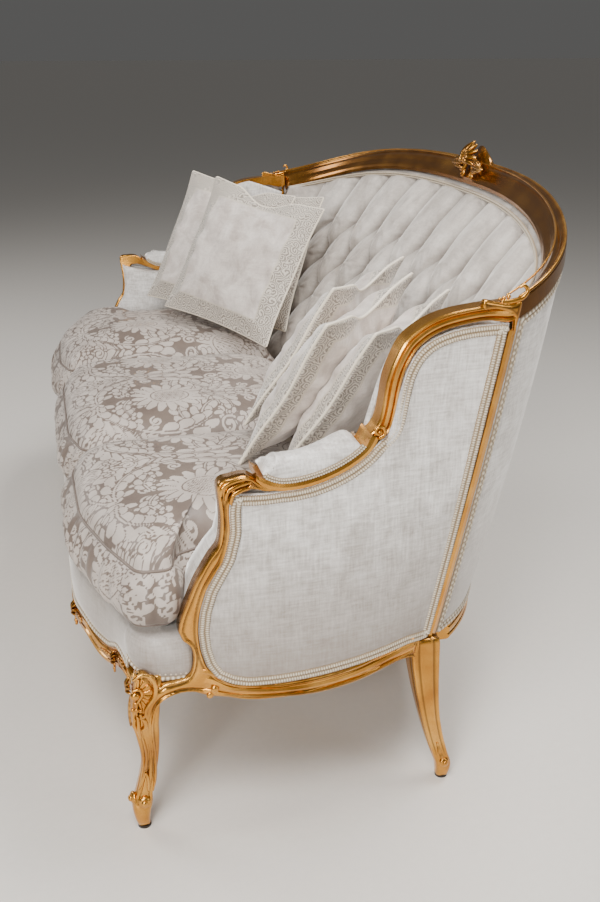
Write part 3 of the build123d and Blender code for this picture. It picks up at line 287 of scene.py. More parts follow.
def armNormal(share):
    a, b = armLow(np.maximum(share - 0.01, 0)), armLow(np.minimum(share + 0.01, 1))
    t = unit(b - a)
    return np.stack([-t[..., 1], t[..., 0]], -1)


def wingEdge(table, share):
    pairs = np.array(armShape[table])
    at = np.linspace(0, 1, len(pairs))
    y = smoothTable(np.stack([at, pairs[:, 0]], -1), share)
    z = smoothTable(np.stack([at, pairs[:, 1]], -1), share)
    return np.stack([-0.0106 + 0.2316 * y, 0.7234 + 0.209 * z], -1)


def patchYZ(bottom, top, front, rear, u, v):
    # Coons patch in y and z: ruled both ways less the bilinear surface of the corners
    U, V = np.meshgrid(u, v)
    U, V = U[..., None], V[..., None]
    b, t = bottom(u)[None], top(u)[None]
    f, r = front(v)[:, None], rear(v)[:, None]
    corners = (1 - U) * (1 - V) * b[:, :1] + U * (1 - V) * b[:, -1:] + (1 - U) * V * t[:, :1] + U * V * t[:, -1:]
    return mix(b, t, V) + mix(f, r, U) - corners


# materials
def makeTree(name):
    material = bpy.data.materials.new(name)
    material.use_nodes = True
    tree = material.node_tree
    tree.nodes.clear()
    out = tree.nodes.new("ShaderNodeOutputMaterial")
    shader = tree.nodes.new("ShaderNodeBsdfPrincipled")
    tree.links.new(shader.outputs["BSDF"], out.inputs["Surface"])
    return material, tree, shader, put(tree, "ShaderNodeTexCoord").outputs["Object"]


def feed(tree, node, inputs):  # links sockets and sets plain values
    for key, value in inputs.items():
        if isinstance(value, bpy.types.NodeSocket):
            tree.links.new(value, node.inputs[key])
        else:
            node.inputs[key].default_value = value


def put(tree, kind, inputs=None, **settings):
    node = tree.nodes.new(kind)
    for key, value in settings.items():
        setattr(node, key, value)
    feed(tree, node, inputs or {})
    return node


def calc(tree, operation, a, b=0.0):
    return put(tree, "ShaderNodeMath", {0: a, 1: b}, operation=operation).outputs[0]


def weigh(tree, a, shareA, b, shareB):  # a * shareA + b * shareB
    return calc(tree, "ADD", calc(tree, "MULTIPLY", a, shareA), calc(tree, "MULTIPLY", b, shareB))


def spread(tree, value, low, high, top=1.0):  # low to high becomes 0 to top
    limits = {"Value": value, "From Min": low, "From Max": high, "To Max": top}
    return put(tree, "ShaderNodeMapRange", limits).outputs["Result"]


# the tone is the damask figure on the cushions, and painted shade on other pieces: creases, grooves, hollows, carved
# edges and trimming hollows
def meshTone(tree):  # the tone kept at each vertex
    return put(tree, "ShaderNodeAttribute", attribute_name="tone").outputs["Fac"]


def blendColour(tree, factor, a, b):  # sockets 0, 6 and 7 are the factor and the two colours, output 2 is their mix
    return put(tree, "ShaderNodeMix", {0: factor, 6: a, 7: b}, data_type="RGBA").outputs[2]


def ramp(tree, value, stops):
    node = put(tree, "ShaderNodeValToRGB", {"Fac": value})
    elements = node.color_ramp.elements
    while len(elements) < len(stops):
        elements.new(0.5)
    for element, (place, colour) in zip(elements, stops):
        element.position = place
        element.color = colour if len(colour) == 4 else (*colour, 1)
    return node.outputs["Color"]


def noise(tree, vector, scale, detail=3.0, rough=0.55, stretch=None, warp=0.0):
    if stretch is not None:
        vector = put(tree, "ShaderNodeMapping", {"Vector": vector, "Scale": stretch}).outputs["Vector"]
    settings = {"Vector": vector, "Scale": scale, "Detail": detail, "Roughness": rough, "Distortion": warp}
    return put(tree, "ShaderNodeTexNoise", settings).outputs["Fac"]


def shade(hexText):  # sRGB hex to linear colour
    c = [int(hexText[k:k + 2], 16) / 255 for k in (0, 2, 4)]
    return tuple(v / 12.92 if v <= 0.04045 else ((v + 0.055) / 1.055) ** 2.4 for v in c) + (1.0,)


def makeGroup(name, sockets, build):
    group = bpy.data.node_groups.new(name, "ShaderNodeTree")
    for label, side, kind, start in sockets:
        item = group.interface.new_socket(name=label, in_out=side, socket_type=kind)
        if start is not None and side == "INPUT":
            item.default_value = start
    inside = group.nodes.new("NodeGroupInput")
    outside = group.nodes.new("NodeGroupOutput")
    build(group, inside.outputs, outside.inputs)
    return group


def buildPile(tree, given, result):
    # crushed pile: broad cloudy patches, long slubs both ways and a fine weave, as a shade mask and a height
    place = given["Place"]
    cloud = noise(tree, place, 17.0, 6.0, 0.68, warp=0.4)
    streakDown = noise(tree, place, 1.0, 3.0, 0.65, stretch=(240, 240, 26))
    streakAcross = noise(tree, place, 1.0, 3.0, 0.65, stretch=(26, 26, 260))
    weave = calc(tree, "ADD", streakDown, streakAcross)
    fine = noise(tree, place, 900.0, 2.0, 0.7)
    mask = weigh(tree, cloud, given["Cloud"], weave, given["Slub"])
    tree.links.new(calc(tree, "ADD", mask, calc(tree, "MULTIPLY", fine, 0.18)), result["Mask"])
    tree.links.new(weigh(tree, weave, 0.5, fine, 0.5), result["Height"])


pileGroup = makeGroup("pile shade", [
    ("Place", "INPUT", "NodeSocketVector", None), ("Cloud", "INPUT", "NodeSocketFloat", 0.6),
    ("Slub", "INPUT", "NodeSocketFloat", 0.4), ("Mask", "OUTPUT", "NodeSocketFloat", None),
    ("Height", "OUTPUT", "NodeSocketFloat", None)], buildPile)


def useGroup(tree, group, inputs):
    return put(tree, "ShaderNodeGroup", inputs, node_tree=group).outputs


def bump(tree, shader, height, strength, distance):
    node = put(tree, "ShaderNodeBump", {"Height": height, "Strength": strength, "Distance": distance})
    tree.links.new(node.outputs["Normal"], shader.inputs["Normal"])


def velvet(name, dark, light, cloud=0.6, slub=0.4, sheen=0.7, rough=0.62, paintedCreaseShade=None, paintedShadeLow=0.0):
    material, tree, shader, place = makeTree(name)
    pile = useGroup(tree, pileGroup, {"Place": place, "Cloud": cloud, "Slub": slub})
    low, high = 0.34 * (cloud + 2 * slub) + 0.06, 0.66 * (cloud + 2 * slub) + 0.09
    colour = ramp(tree, spread(tree, pile["Mask"], low, high), [(0.0, shade(dark)), (1.0, shade(light))])
    # painted shade in the creases: the mesh tone draws the colour towards a dark brown
    if paintedCreaseShade:
        colour = blendColour(tree, calc(tree, "MULTIPLY", meshTone(tree), paintedCreaseShade[1]), colour, shade(paintedCreaseShade[0]))
    # painted shade: the colour is drawn towards a grey brown from 0.60 m down to 0.30 m
    height = put(tree, "ShaderNodeSeparateXYZ", {0: place}).outputs[2]
    colour = blendColour(tree, spread(tree, height, 0.60, 0.30, paintedShadeLow), colour, shade("85786d"))
    feed(tree, shader, {"Base Color": colour, "Roughness": rough, "Sheen Weight": sheen, "Sheen Roughness": 0.35,
                        "Sheen Tint": (1, 0.98, 0.95, 1)})
    bump(tree, shader, pile["Height"], 0.35, 0.0006)
    return material


def giltMaterial(name, deep, body, bright, rough=0.3, wear=0.5):
    # burnished leaf over a warm ground: metal body, dusky patches and a thin glaze
    material, tree, shader, place = makeTree(name)
    broad = noise(tree, place, 14.0, 4.0, 0.5, warp=0.3)
    grain = noise(tree, place, 260.0, 3.0, 0.6)
    value = weigh(tree, broad, 0.8, grain, 0.2)
    colour = ramp(tree, value, [(0.25, shade(deep)), (0.5, shade(body)), (0.75, shade(bright))])
    # painted shade: where the mesh tone is high, in grooves, hollow flanks and round carved edges, the colour is drawn
    # towards a deep brown
    colour = blendColour(tree, calc(tree, "MULTIPLY", meshTone(tree), 0.85), colour, shade("3d2207"))
    roughness = calc(tree, "ADD", calc(tree, "MULTIPLY", broad, wear * 0.3), rough - 0.1)
    feed(tree, shader, {"Base Color": colour, "Metallic": 0.88, "Roughness": roughness, "Coat Weight": 0.25,
                        "Coat Roughness": 0.2})
    bump(tree, shader, calc(tree, "ADD", grain, broad), 0.12, 0.0008)
    return material


def plainCloth(name, dark, light, threads=900.0, rough=0.85):
    # plain woven cloth: two sets of thread lines
    material, tree, shader, place = makeTree(name)
    parts = put(tree, "ShaderNodeSeparateXYZ", {0: place}).outputs
    across = calc(tree, "SINE", calc(tree, "MULTIPLY", calc(tree, "ADD", parts[0], parts[2]), threads * 2))
    along = calc(tree, "SINE", calc(tree, "MULTIPLY", parts[1], threads * 2))
    height = calc(tree, "MULTIPLY", across, along)
    value = weigh(tree, noise(tree, place, 40.0, 4.0), 0.8, height, 0.08)
    colour = ramp(tree, value, [(0.25, shade(dark)), (0.65, shade(light))])
    feed(tree, shader, {"Base Color": colour, "Roughness": rough})
    bump(tree, shader, height, 0.3, 0.0005)
    return material


def timberMaterial(name, dark, light):
    material, tree, shader, place = makeTree(name)
    grain = noise(tree, place, 1.0, 6.0, 0.6, stretch=(14, 60, 60), warp=0.8)
    feed(tree, shader, {"Base Color": ramp(tree, grain, [(0.3, shade(dark)), (0.7, shade(light))]), "Roughness": 0.6})
    bump(tree, shader, grain, 0.2, 0.0008)
    return material


def damaskMaterial(name, ground, figure):
    # satin ground and matt figure, told apart by the tone painted on the mesh
    material, tree, shader, place = makeTree(name)
    cloud = noise(tree, place, 12.0, 4.0, 0.6)
    thread = noise(tree, place, 1.0, 2.0, 0.6, stretch=(60, 900, 900))
    groundColour = ramp(tree, cloud, [(0.3, shade(ground[0])), (0.7, shade(ground[1]))])
    figureColour = ramp(tree, cloud, [(0.3, shade(figure[0])), (0.7, shade(figure[1]))])
    sharp = spread(tree, meshTone(tree), 0.35, 0.62)
    colour = blendColour(tree, sharp, groundColour, figureColour)
    colour = blendColour(tree, calc(tree, "MULTIPLY", thread, 0.22), colour, shade("8c8078"))
    roughness = calc(tree, "ADD", calc(tree, "MULTIPLY", sharp, 0.16), 0.42)
    feed(tree, shader, {"Base Color": colour, "Roughness": roughness, "Sheen Weight": 0.12, "Sheen Roughness": 0.4})
    bump(tree, shader, weigh(tree, sharp, 0.6, thread, 0.5), 0.35, 0.0007)
    return material


def pillowMaterial(name):
    # plush middle with a brocade border: the border starts at a share of the pillow's half size, kept in UV
    material, tree, shader, place = makeTree(name)
    cloth = put(tree, "ShaderNodeUVMap", uv_map="weave").outputs[0]
    parts = put(tree, "ShaderNodeSeparateXYZ", {0: cloth}).outputs
    edge = calc(tree, "MAXIMUM", calc(tree, "ABSOLUTE", parts[0]), calc(tree, "ABSOLUTE", parts[1]))
    border = calc(tree, "GREATER_THAN", edge, 0.142)
    stripe = calc(tree, "LESS_THAN", calc(tree, "ABSOLUTE", calc(tree, "SUBTRACT", edge, 0.1435)), 0.0018)
    pile = useGroup(tree, pileGroup, {"Place": place, "Cloud": 0.8, "Slub": 0.15})
    plush = ramp(tree, pile["Mask"], [(0.36, shade("9a897f")), (0.80, shade("ebe3db"))])
    warp = put(tree, "ShaderNodeTexNoise", {"Vector": cloth, "Scale": 55.0, "Detail": 2.0}).outputs["Color"]
    shift = put(tree, "ShaderNodeVectorMath", {0: warp, "Scale": 0.014}, operation="SCALE").outputs[0]
    moved = put(tree, "ShaderNodeVectorMath", {0: cloth, 1: shift}, operation="ADD").outputs[0]
    voronoi = put(tree, "ShaderNodeTexVoronoi", {"Vector": moved, "Scale": 48.0, "Randomness": 0.7}).outputs
    local = put(tree, "ShaderNodeVectorMath", {0: moved, 1: voronoi["Position"]}, operation="SUBTRACT").outputs[0]
    localParts = put(tree, "ShaderNodeSeparateXYZ", {0: local}).outputs
    turn = calc(tree, "ARCTAN2", localParts[1], localParts[0])
    spiral = calc(tree, "SINE", calc(tree, "ADD", calc(tree, "MULTIPLY", voronoi["Distance"], 26.0), turn))
    scroll = spread(tree, spiral, -0.35, 0.25)
    brocade = ramp(tree, scroll, [(0.0, shade("8f867c")), (1.0, shade("d8cfc2"))])
    colour = blendColour(tree, border, plush, brocade)
    colour = blendColour(tree, stripe, colour, shade("cfc5b6"))
    feed(tree, shader, {"Base Color": colour, "Roughness": 0.6, "Sheen Weight": 0.5, "Sheen Roughness": 0.35})
    bump(tree, shader, weigh(tree, calc(tree, "MULTIPLY", scroll, border), 0.8, pile["Height"], 0.3), 0.4, 0.0009)
    return material


def trimMaterial(name, dark, light):
    # corded trimming: the tone is 1 in the hollows between its beads, where the colour is darkened as painted shade;
    # fine noise adds darker flecks
    material, tree, shader, place = makeTree(name)
    value = calc(tree, "ADD", meshTone(tree), calc(tree, "MULTIPLY", noise(tree, place, 500.0, 2.0), 0.35))
    colour = ramp(tree, value, [(0.15, shade(light)), (0.95, shade(dark))])
    feed(tree, shader, {"Base Color": colour, "Roughness": 0.7, "Sheen Weight": 0.25})
    bump(tree, shader, noise(tree, place, 900.0, 2.0), 0.3, 0.0004)
    return material


def plainFinish(name, colour, rough, metal=0.0, dark=0.8):
    material, tree, shader, place = makeTree(name)
    spots = noise(tree, place, 60.0, 4.0)
    base = shade(colour)
    colour = ramp(tree, spots, [(0.3, tuple(c * dark for c in base[:3])), (0.7, base)])
    feed(tree, shader, {"Base Color": colour, "Roughness": rough, "Metallic": metal})
    bump(tree, shader, spots, 0.1, 0.0005)
    return material


gilt = giltMaterial("burnished gilt", "a5681c", "cb8f38", "e8b25c", 0.27, 0.4)
# the crest's gilt is a darker copy of the burnished gilt: painted shade for the dark surroundings it reflects
paintedShadeGilt = giltMaterial("gilt with painted shade", "6f430f", "8f5d1c", "b47f33", 0.26, 0.4)
# silver velvet: painted shade darkens it towards the floor
silverVelvet = velvet("silver velvet", "958c83", "fbf9f6", 0.9, 0.62, 0.75, 0.40, paintedShadeLow=0.85)
# buttoned velvet: painted shade darkens its creases
buttonedVelvet = velvet("buttoned velvet", "a0968d", "ddd6ce", 0.9, 0.2, 0.6, 0.40, paintedCreaseShade=("5b5048", 0.95))
damask = damaskMaterial("rose damask", ("5f5149", "786a60"), ("aca198", "c9bfb6"))
pillowCloth = pillowMaterial("pillow plush and brocade")
# cream trimming: painted shade in the hollows between its beads
trimThread = trimMaterial("cream trimming", "8a7558", "f1e7d4")
pipingCloth = velvet("piping cloth", "b5aea5", "e2dcd4", 0.3, 0.2, 0.4, 0.6)
frameTimber = timberMaterial("frame timber", "7a5634", "b58a58")
webbingCloth = plainCloth("jute webbing", "6b5233", "a88a5c", 500.0)
deckCloth = plainCloth("deck lining", "a59c8d", "cfc7b9", 900.0)
screwSteel = plainFinish("screw steel", "9a9a9c", 0.35, 1.0)
glideFinish = plainFinish("dark glide", "241c14", 0.5)
print("materials made")


# CAD nodes that stay
nodeFinish = {  # by the start of a node's name; all others are gilt
    "seat_cross_rails": frameTimber, "corner_blocks": frameTimber, "back_uprights": frameTimber,
    "seat_webbing": webbingCloth, "corner_block_screws": screwSteel, "foot_glides": glideFinish,
    "back_tuft_buttons": buttonedVelvet, "crest": paintedShadeGilt,
}
for name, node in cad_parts.items():
    finishes = [finish for start, finish in nodeFinish.items() if name.startswith(start)]
    node.data.materials.clear()
    node.data.materials.append((finishes or [gilt])[0])


# trimming that several pieces use
gimp = {"width": 0.0165, "height": 0.0034, "bead": 0.0046, "spacing": 0.00115}


def addGimp(store, path, normal, width=gimp["width"], bead=gimp["bead"]):
    # two rows of beads: a ribbon whose two humps swell and shrink along its length
    side, up = pathFrames(path, normal)
    along = lengthsAlong(path)
    across = np.linspace(-1, 1, 9)
    wave = 0.5 + 0.5 * np.cos(2 * math.pi * along / bead)[:, None]
    waveOther = 0.5 + 0.5 * np.cos(2 * math.pi * along / bead + math.pi)[:, None]
    hump = np.abs(np.sin(math.pi * across))[None, :] ** 0.7
    pulse = np.where(across[None, :] < 0, wave, waveOther)
    lift = gimp["height"] * hump * (0.45 + 0.55 * pulse) * (np.abs(across) < 0.999)
    reach = 0.5 * width * across[None, :] * (1 + 0.16 * pulse * np.abs(across)[None, :] ** 6)
    points = path[:, None] + side[:, None] * reach[..., None] + up[:, None] * (lift[..., None] + 0.0004)
    under = path[:, None] + side[:, None] * (reach * 0.98)[..., None] - up[:, None] * 0.0012
    # painted shade: the tone is high in the hollows between the beads and darkens the trimming there
    tone = 1 - hump * (0.25 + 0.75 * pulse)
    uv = np.stack(np.broadcast_arrays(along[:, None], across[None, :]), -1)
    addSlab(store, points, under, uv, tone)


bothEnds = ((1, "right"), (-1, "left"))


def flipX(points, side):
    return points * np.array([side, 1.0, 1.0])


def mirrored(store, side):
    store["points"] = [flipX(p, side) for p in store["points"]]
    return store


def meetEnds(rawTop, front, rear, ease):
    # a patch's top edge, drawn over near its ends so that it meets the front and the rear edge
    def top(u):
        ends = rawTop(np.array([0.0, 1.0]))
        first, last = front(np.array([1.0]))[0] - ends[0], rear(np.array([1.0]))[0] - ends[1]
        nearFirst, nearLast = np.maximum(0, 1 - u / ease)[:, None], np.maximum(0, (u - 1 + ease) / ease)[:, None]
        return rawTop(u) + nearFirst * first + nearLast * last

    return top


# the gilt face of the side frame, as y and z on the outer face
frameFace = {
    "post": [(-0.3549, 0.4135), (-0.3500, 0.4387), (-0.3380, 0.4753), (-0.3240, 0.5161), (-0.3045, 0.5550),
             (-0.2887, 0.5780), (-0.2838, 0.6070), (-0.2839, 0.6352), (-0.2868, 0.6634), (-0.2885, 0.6860),
             (-0.2810, 0.6954), (-0.2657, 0.6969), (-0.2431, 0.6973), (-0.2290, 0.6900), (-0.2160, 0.6790),
             (-0.2010, 0.6700), (-0.1880, 0.6665), (-0.1880, 0.6600), (-0.2060, 0.6610), (-0.2220, 0.6670),
             (-0.2370, 0.6715)],
    "rear": [(-0.2558, 0.6705), (-0.2660, 0.6536), (-0.2675, 0.6374), (-0.2664, 0.5982), (-0.2765, 0.5532),
             (-0.2904, 0.5273), (-0.3058, 0.4971), (-0.3169, 0.4536), (-0.3204, 0.4120), (-0.3163, 0.3726),
             (-0.3073, 0.3397), (-0.2922, 0.3157), (-0.2709, 0.3039), (-0.2405, 0.2975), (-0.1922, 0.2990),
             (-0.1013, 0.3041), (-0.0026, 0.3106), (0.0621, 0.3164), (0.0900, 0.3130)],
    "low": [(0.0900, 0.2700), (0.0537, 0.2825), (-0.0009, 0.2815), (-0.0764, 0.2775), (-0.1530, 0.2665),
            (-0.1985, 0.2648), (-0.2460, 0.2659), (-0.2925, 0.2757), (-0.3109, 0.2792), (-0.3401, 0.2883),
            (-0.3595, 0.2901), (-0.3805, 0.2836), (-0.3937, 0.2690), (-0.4005, 0.2427), (-0.4020, 0.2122),
            (-0.3989, 0.1650), (-0.4001, 0.1077), (-0.4065, 0.0760)],
    "front": [(-0.4370, 0.0760), (-0.4290, 0.1064), (-0.4215, 0.1483), (-0.4250, 0.1953), (-0.4300, 0.2283),
              (-0.4345, 0.2619), (-0.4352, 0.2952), (-0.4330, 0.3239), (-0.4270, 0.3400), (-0.4200, 0.3440),
              (-0.4080, 0.3380), (-0.3919, 0.3120), (-0.3837, 0.3155), (-0.3584, 0.3181), (-0.3424, 0.3222),
              (-0.3341, 0.3361), (-0.3314, 0.3629), (-0.3362, 0.3827), (-0.3480, 0.3949)],
    "wing": [(0.1600, 0.9420), (0.1789, 0.9394), (0.1998, 0.9348), (0.2164, 0.9337), (0.2280, 0.9390),
             (0.2320, 0.9330), (0.2300, 0.9172), (0.2262, 0.8980), (0.2236, 0.8807), (0.2175, 0.8600),
             (0.2120, 0.8600), (0.2179, 0.8812), (0.2181, 0.9026), (0.2123, 0.9137), (0.1993, 0.9195),
             (0.1804, 0.9240), (0.1600, 0.9240)],
    "legSide": [(0.0054, 0.8693), (0.020, 0.8743), (0.053, 0.8710), (0.074, 0.8660), (0.116, 0.8671), (0.158, 0.8732),
                (0.200, 0.8831), (0.234, 0.8908), (0.258, 0.8935), (0.334, 0.8935)],
    "mould": [(0.0, -0.0060), (0.0012, -0.0015), (0.0030, 0.0022), (0.0050, 0.0020), (0.0068, -0.0014),
              (0.0084, -0.0014), (0.0105, 0.0006), (0.0180, 0.0020), (0.0300, 0.0022)],
}


def faceX(y, z):  # outer face of the side frame: the bowed side, running out over the front leg
    base = sideX(np.maximum(y, -0.310), z)
    legs = np.array(frameFace["legSide"])
    leg = np.interp(z, legs[:, 0], legs[:, 1])
    overLeg = easeStep(0.0, 0.05, 0.290 - z) * easeStep(0.0, 0.04, -0.310 - y)
    return mix(base, leg, np.maximum(easeStep(0.0, 0.07, -0.310 - y), overLeg))


def curved(points, spacing, closed=False):
    # smooth curve through given points, evenly spaced
    points = np.array(points, float)
    if closed:
        points = np.concatenate([points[-2:], points, points[:3]])
    at = np.arange(len(points))
    fine = np.linspace(2, len(points) - 3, 1200) if closed else np.linspace(0, len(points) - 1, 1200)
    path = np.stack([smoothTable(np.stack([at, points[:, k]], -1), fine) for k in range(points.shape[1])], -1)
    return evenPath(path[:-1] if closed else path, spacing, closed)


def postRearY(z):
    table = np.array(frameFace["rear"][:12])[::-1]
    return np.interp(z, table[:, 1], table[:, 0])


def postFrontY(z):
    table = np.array(frameFace["post"][:10])
    return np.interp(z, table[:, 1], table[:, 0])


def railTopZ(y):
    table = np.array(frameFace["rear"][11:])
    return np.interp(y, table[:, 0], table[:, 1])


# outer side panels
sidePanel = {"rows": 72, "columns": 116, "puff": 0.005}


def panelEdges():
    def bottom(u):
        y = mix(postRearY(0.318) - 0.0015, rearY(0.334) - 0.0072, u)
        return np.stack([y, railTopZ(y) - 0.0015], -1)

    def front(v):
        z = mix(bottom(np.array([0.0]))[0, 1], 0.668, v)
        return np.stack([postRearY(z) - 0.0015, z], -1)

    def rear(v):
        z = mix(bottom(np.array([1.0]))[0, 1], 0.7234 + 0.209 * 0.873 - 0.006, v)
        return np.stack([rearY(z) - 0.0072, z], -1)

    def rawTop(u):
        arm = armLow(mix(0.035, 0.97, clip01(u / 0.42))) - armNormal(mix(0.035, 0.97, clip01(u / 0.42))) * 0.0012
        late = clip01((u - 0.42) / 0.58)
        wing = wingEdge("wingInner", mix(0.06, 0.97, late)) + np.stack([0.0012 * (1 - late), -0.006 + 0 * late], -1)
        return np.where((u < 0.42)[:, None], arm, wing)

    return bottom, meetEnds(rawTop, front, rear, 0.08), front, rear


def sidePanelPoints(u, v):
    yz = patchYZ(*panelEdges(), u, v)
    y, z = yz[..., 0], yz[..., 1]
    puff = sidePanel["puff"] * (np.sin(math.pi * u)[None] * np.sin(math.pi * v)[:, None]) ** 0.6
    return stack3(sideX(y, z) + puff, y, z)


def insetBorder(points, margin):
    # closed path that runs a fixed distance inside a patch's edge
    edge = np.concatenate([points[0], points[1:, -1], points[-1, -2::-1], points[-2:0:-1, 0]])
    middle = points.reshape(-1, 3).mean(0)
    even = evenPath(edge, 0.002, closed=True)
    normal = unit(np.cross(points[0, -1] - points[0, 0], points[-1, 0] - points[0, 0]))
    for _ in range(14):
        even = 0.25 * np.roll(even, 1, 0) + 0.5 * even + 0.25 * np.roll(even, -1, 0)
    tangent = unit(np.roll(even, -1, 0) - np.roll(even, 1, 0))
    inward = unit(np.cross(normal, tangent))
    inward = inward * np.sign(((middle - even) * inward).sum(-1).mean())
    return even + inward * margin


panelPoints = sidePanelPoints(steps(0, 1, sidePanel["columns"] * coarse), steps(0, 1, sidePanel["rows"] * coarse))
for side, label in bothEnds:
    store = newStore()
    inner = panelPoints - np.array([0.0068, 0, 0])
    outer = flipX(panelPoints, side)
    addSlab(store, outer, flipX(inner, side))
    piece = buildMesh("side_panel_" + label, store, silverVelvet, "sofa")
    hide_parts("side_cover_" + label)
    store = newStore()
    path = insetBorder(panelPoints, 0.0100)
    xFace = sideX(path[:, 1], path[:, 2]) + 0.0012
    path = np.stack([xFace, path[:, 1], path[:, 2]], -1)
    path = evenPath(path, gimp["spacing"] / coarse, closed=True)
    normal = np.tile([1.0, 0, 0], (len(path), 1))
    addGimp(store, flipX(np.concatenate([path, path[:2]]), side), flipX(np.concatenate([normal, normal[:2]]), side))
    buildMesh("side_gimp_" + label, store, trimThread, "sofa")
print("side panels made")


# relief plates: a closed plate over an outline, moulded by the distance from its edge
def plateField(outline, cell):
    ys = np.arange(outline[:, 0].min() - 2 * cell, outline[:, 0].max() + 2 * cell, cell)
    zs = np.arange(outline[:, 1].min() - 2 * cell, outline[:, 1].max() + 2 * cell, cell)
    Y, Z = np.meshgrid(ys, zs)
    best, near, inside = np.full(Y.shape, 0.03), np.stack([Y, Z], -1), np.zeros(Y.shape, bool)
    for (y0, z0), (y1, z1) in zip(outline, np.roll(outline, -1, 0)):
        rows = slice(*np.searchsorted(zs, [min(z0, z1) - 0.03, max(z0, z1) + 0.03]))
        columns = slice(*np.searchsorted(ys, [min(y0, y1) - 0.03, max(y0, y1) + 0.03]))
        y, z = Y[rows, columns], Z[rows, columns]
        t = clip01(((y - y0) * (y1 - y0) + (z - z0) * (z1 - z0)) / max((y1 - y0) ** 2 + (z1 - z0) ** 2, 1e-12))
        foot = np.stack([y0 + t * (y1 - y0), z0 + t * (z1 - z0)], -1)
        distance = np.hypot(y - foot[..., 0], z - foot[..., 1])
        closer = distance < best[rows, columns]
        best[rows, columns] = np.where(closer, distance, best[rows, columns])
        near[rows, columns] = np.where(closer[..., None], foot, near[rows, columns])
        crossed = slice(*np.searchsorted(zs, [min(z0, z1), max(z0, z1)]))
        if crossed.stop > crossed.start:
            inside[crossed] ^= ys[None] < (y0 + (zs[crossed] - z0) * (y1 - y0) / (z1 - z0))[:, None]
    return Y, Z, best, near, inside


def addPlate(store, outline, cell, thickness, side, mould):
    Y, Z, distance, near, inside = plateField(outline, cell)
    snap = ~inside | (distance < 0.35 * cell)
    Y, Z = np.where(snap, near[..., 0], Y), np.where(snap, near[..., 1], Z)
    distance = np.where(snap, 0.0, distance)
    keep = inside & ~(distance == 0)
    cells = keep[:-1, :-1] | keep[:-1, 1:] | keep[1:, :-1] | keep[1:, 1:]
    index = np.arange(Y.size).reshape(Y.shape)
    quads = np.stack([index[:-1, :-1], index[:-1, 1:], index[1:, 1:], index[1:, :-1]], -1)[cells]
    used = np.unique(quads)
    renumber = np.zeros(Y.size, int)
    renumber[used] = np.arange(len(used))
    quads = renumber[quads]
    y, z, d = Y.ravel()[used], Z.ravel()[used], distance.ravel()[used]
    table = np.array(mould)
    x = faceX(y, z) + smoothTable(mould, np.minimum(d, table[-1, 0]))
    # painted shade: the tone is high along the moulding's hollow and at the plate's edge, where the gilt is darkened
    paintedGrooveShade = clip01(np.exp(-((d - 0.0076) / 0.0016) ** 2) + 0.8 * np.exp(-(d / 0.0012) ** 2))
    front, rear = stack3(x, y, z), stack3(faceX(y, z) - thickness(y, z), y, z)
    edges = np.concatenate([quads[:, [a, (a + 1) % 4]] for a in range(4)])
    code = edges[:, 0] * len(used) + edges[:, 1]
    rim = edges[~np.isin(code, edges[:, 1] * len(used) + edges[:, 0])]
    base, count = store["count"], len(used)
    wall = np.stack([rim[:, 1], rim[:, 0], rim[:, 0] + count, rim[:, 1] + count], -1)
    store["points"] += [flipX(front, side), flipX(rear, side)]
    store["uv"] += [np.zeros((count, 2))] * 2
    store["tone"] += [paintedGrooveShade, np.zeros(count)]
    store["quads"] += [quads + base, quads[:, ::-1] + count + base, wall + base]
    store["count"] += 2 * count


frameOutline = np.concatenate([curved(frameFace[key], 0.003) for key in ("post", "rear", "low", "front")])
wingOutline = curved(frameFace["wing"], 0.003, closed=True)
flatMould = [(0.0, -0.004), (0.0015, 0.0005), (0.004, 0.0030), (0.010, 0.0042), (0.030, 0.0042)]
plate = {"cell": 0.0019, "wingCell": 0.0016, "thin": 0.010, "thick": 0.026, "wing": 0.006}


def postThickness(y, z):  # thin along the rail, thick behind the arm post
    return mix(plate["thin"], plate["thick"], easeStep(0.36, 0.42, z))


def wingThickness(y, z):
    return plate["wing"] + 0 * y


for side, label in bothEnds:
    store = newStore()
    addPlate(store, frameOutline, plate["cell"] / coarse, postThickness, side, frameFace["mould"])
    piece = buildMesh("frame_face_" + label, store, gilt, "sofa")
    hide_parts("arm_post_" + label)
    store = newStore()
    addPlate(store, wingOutline, plate["wingCell"] / coarse, wingThickness, side, flatMould)
    buildMesh("wing_joint_" + label, store, gilt, "sofa")
print("frame faces made")


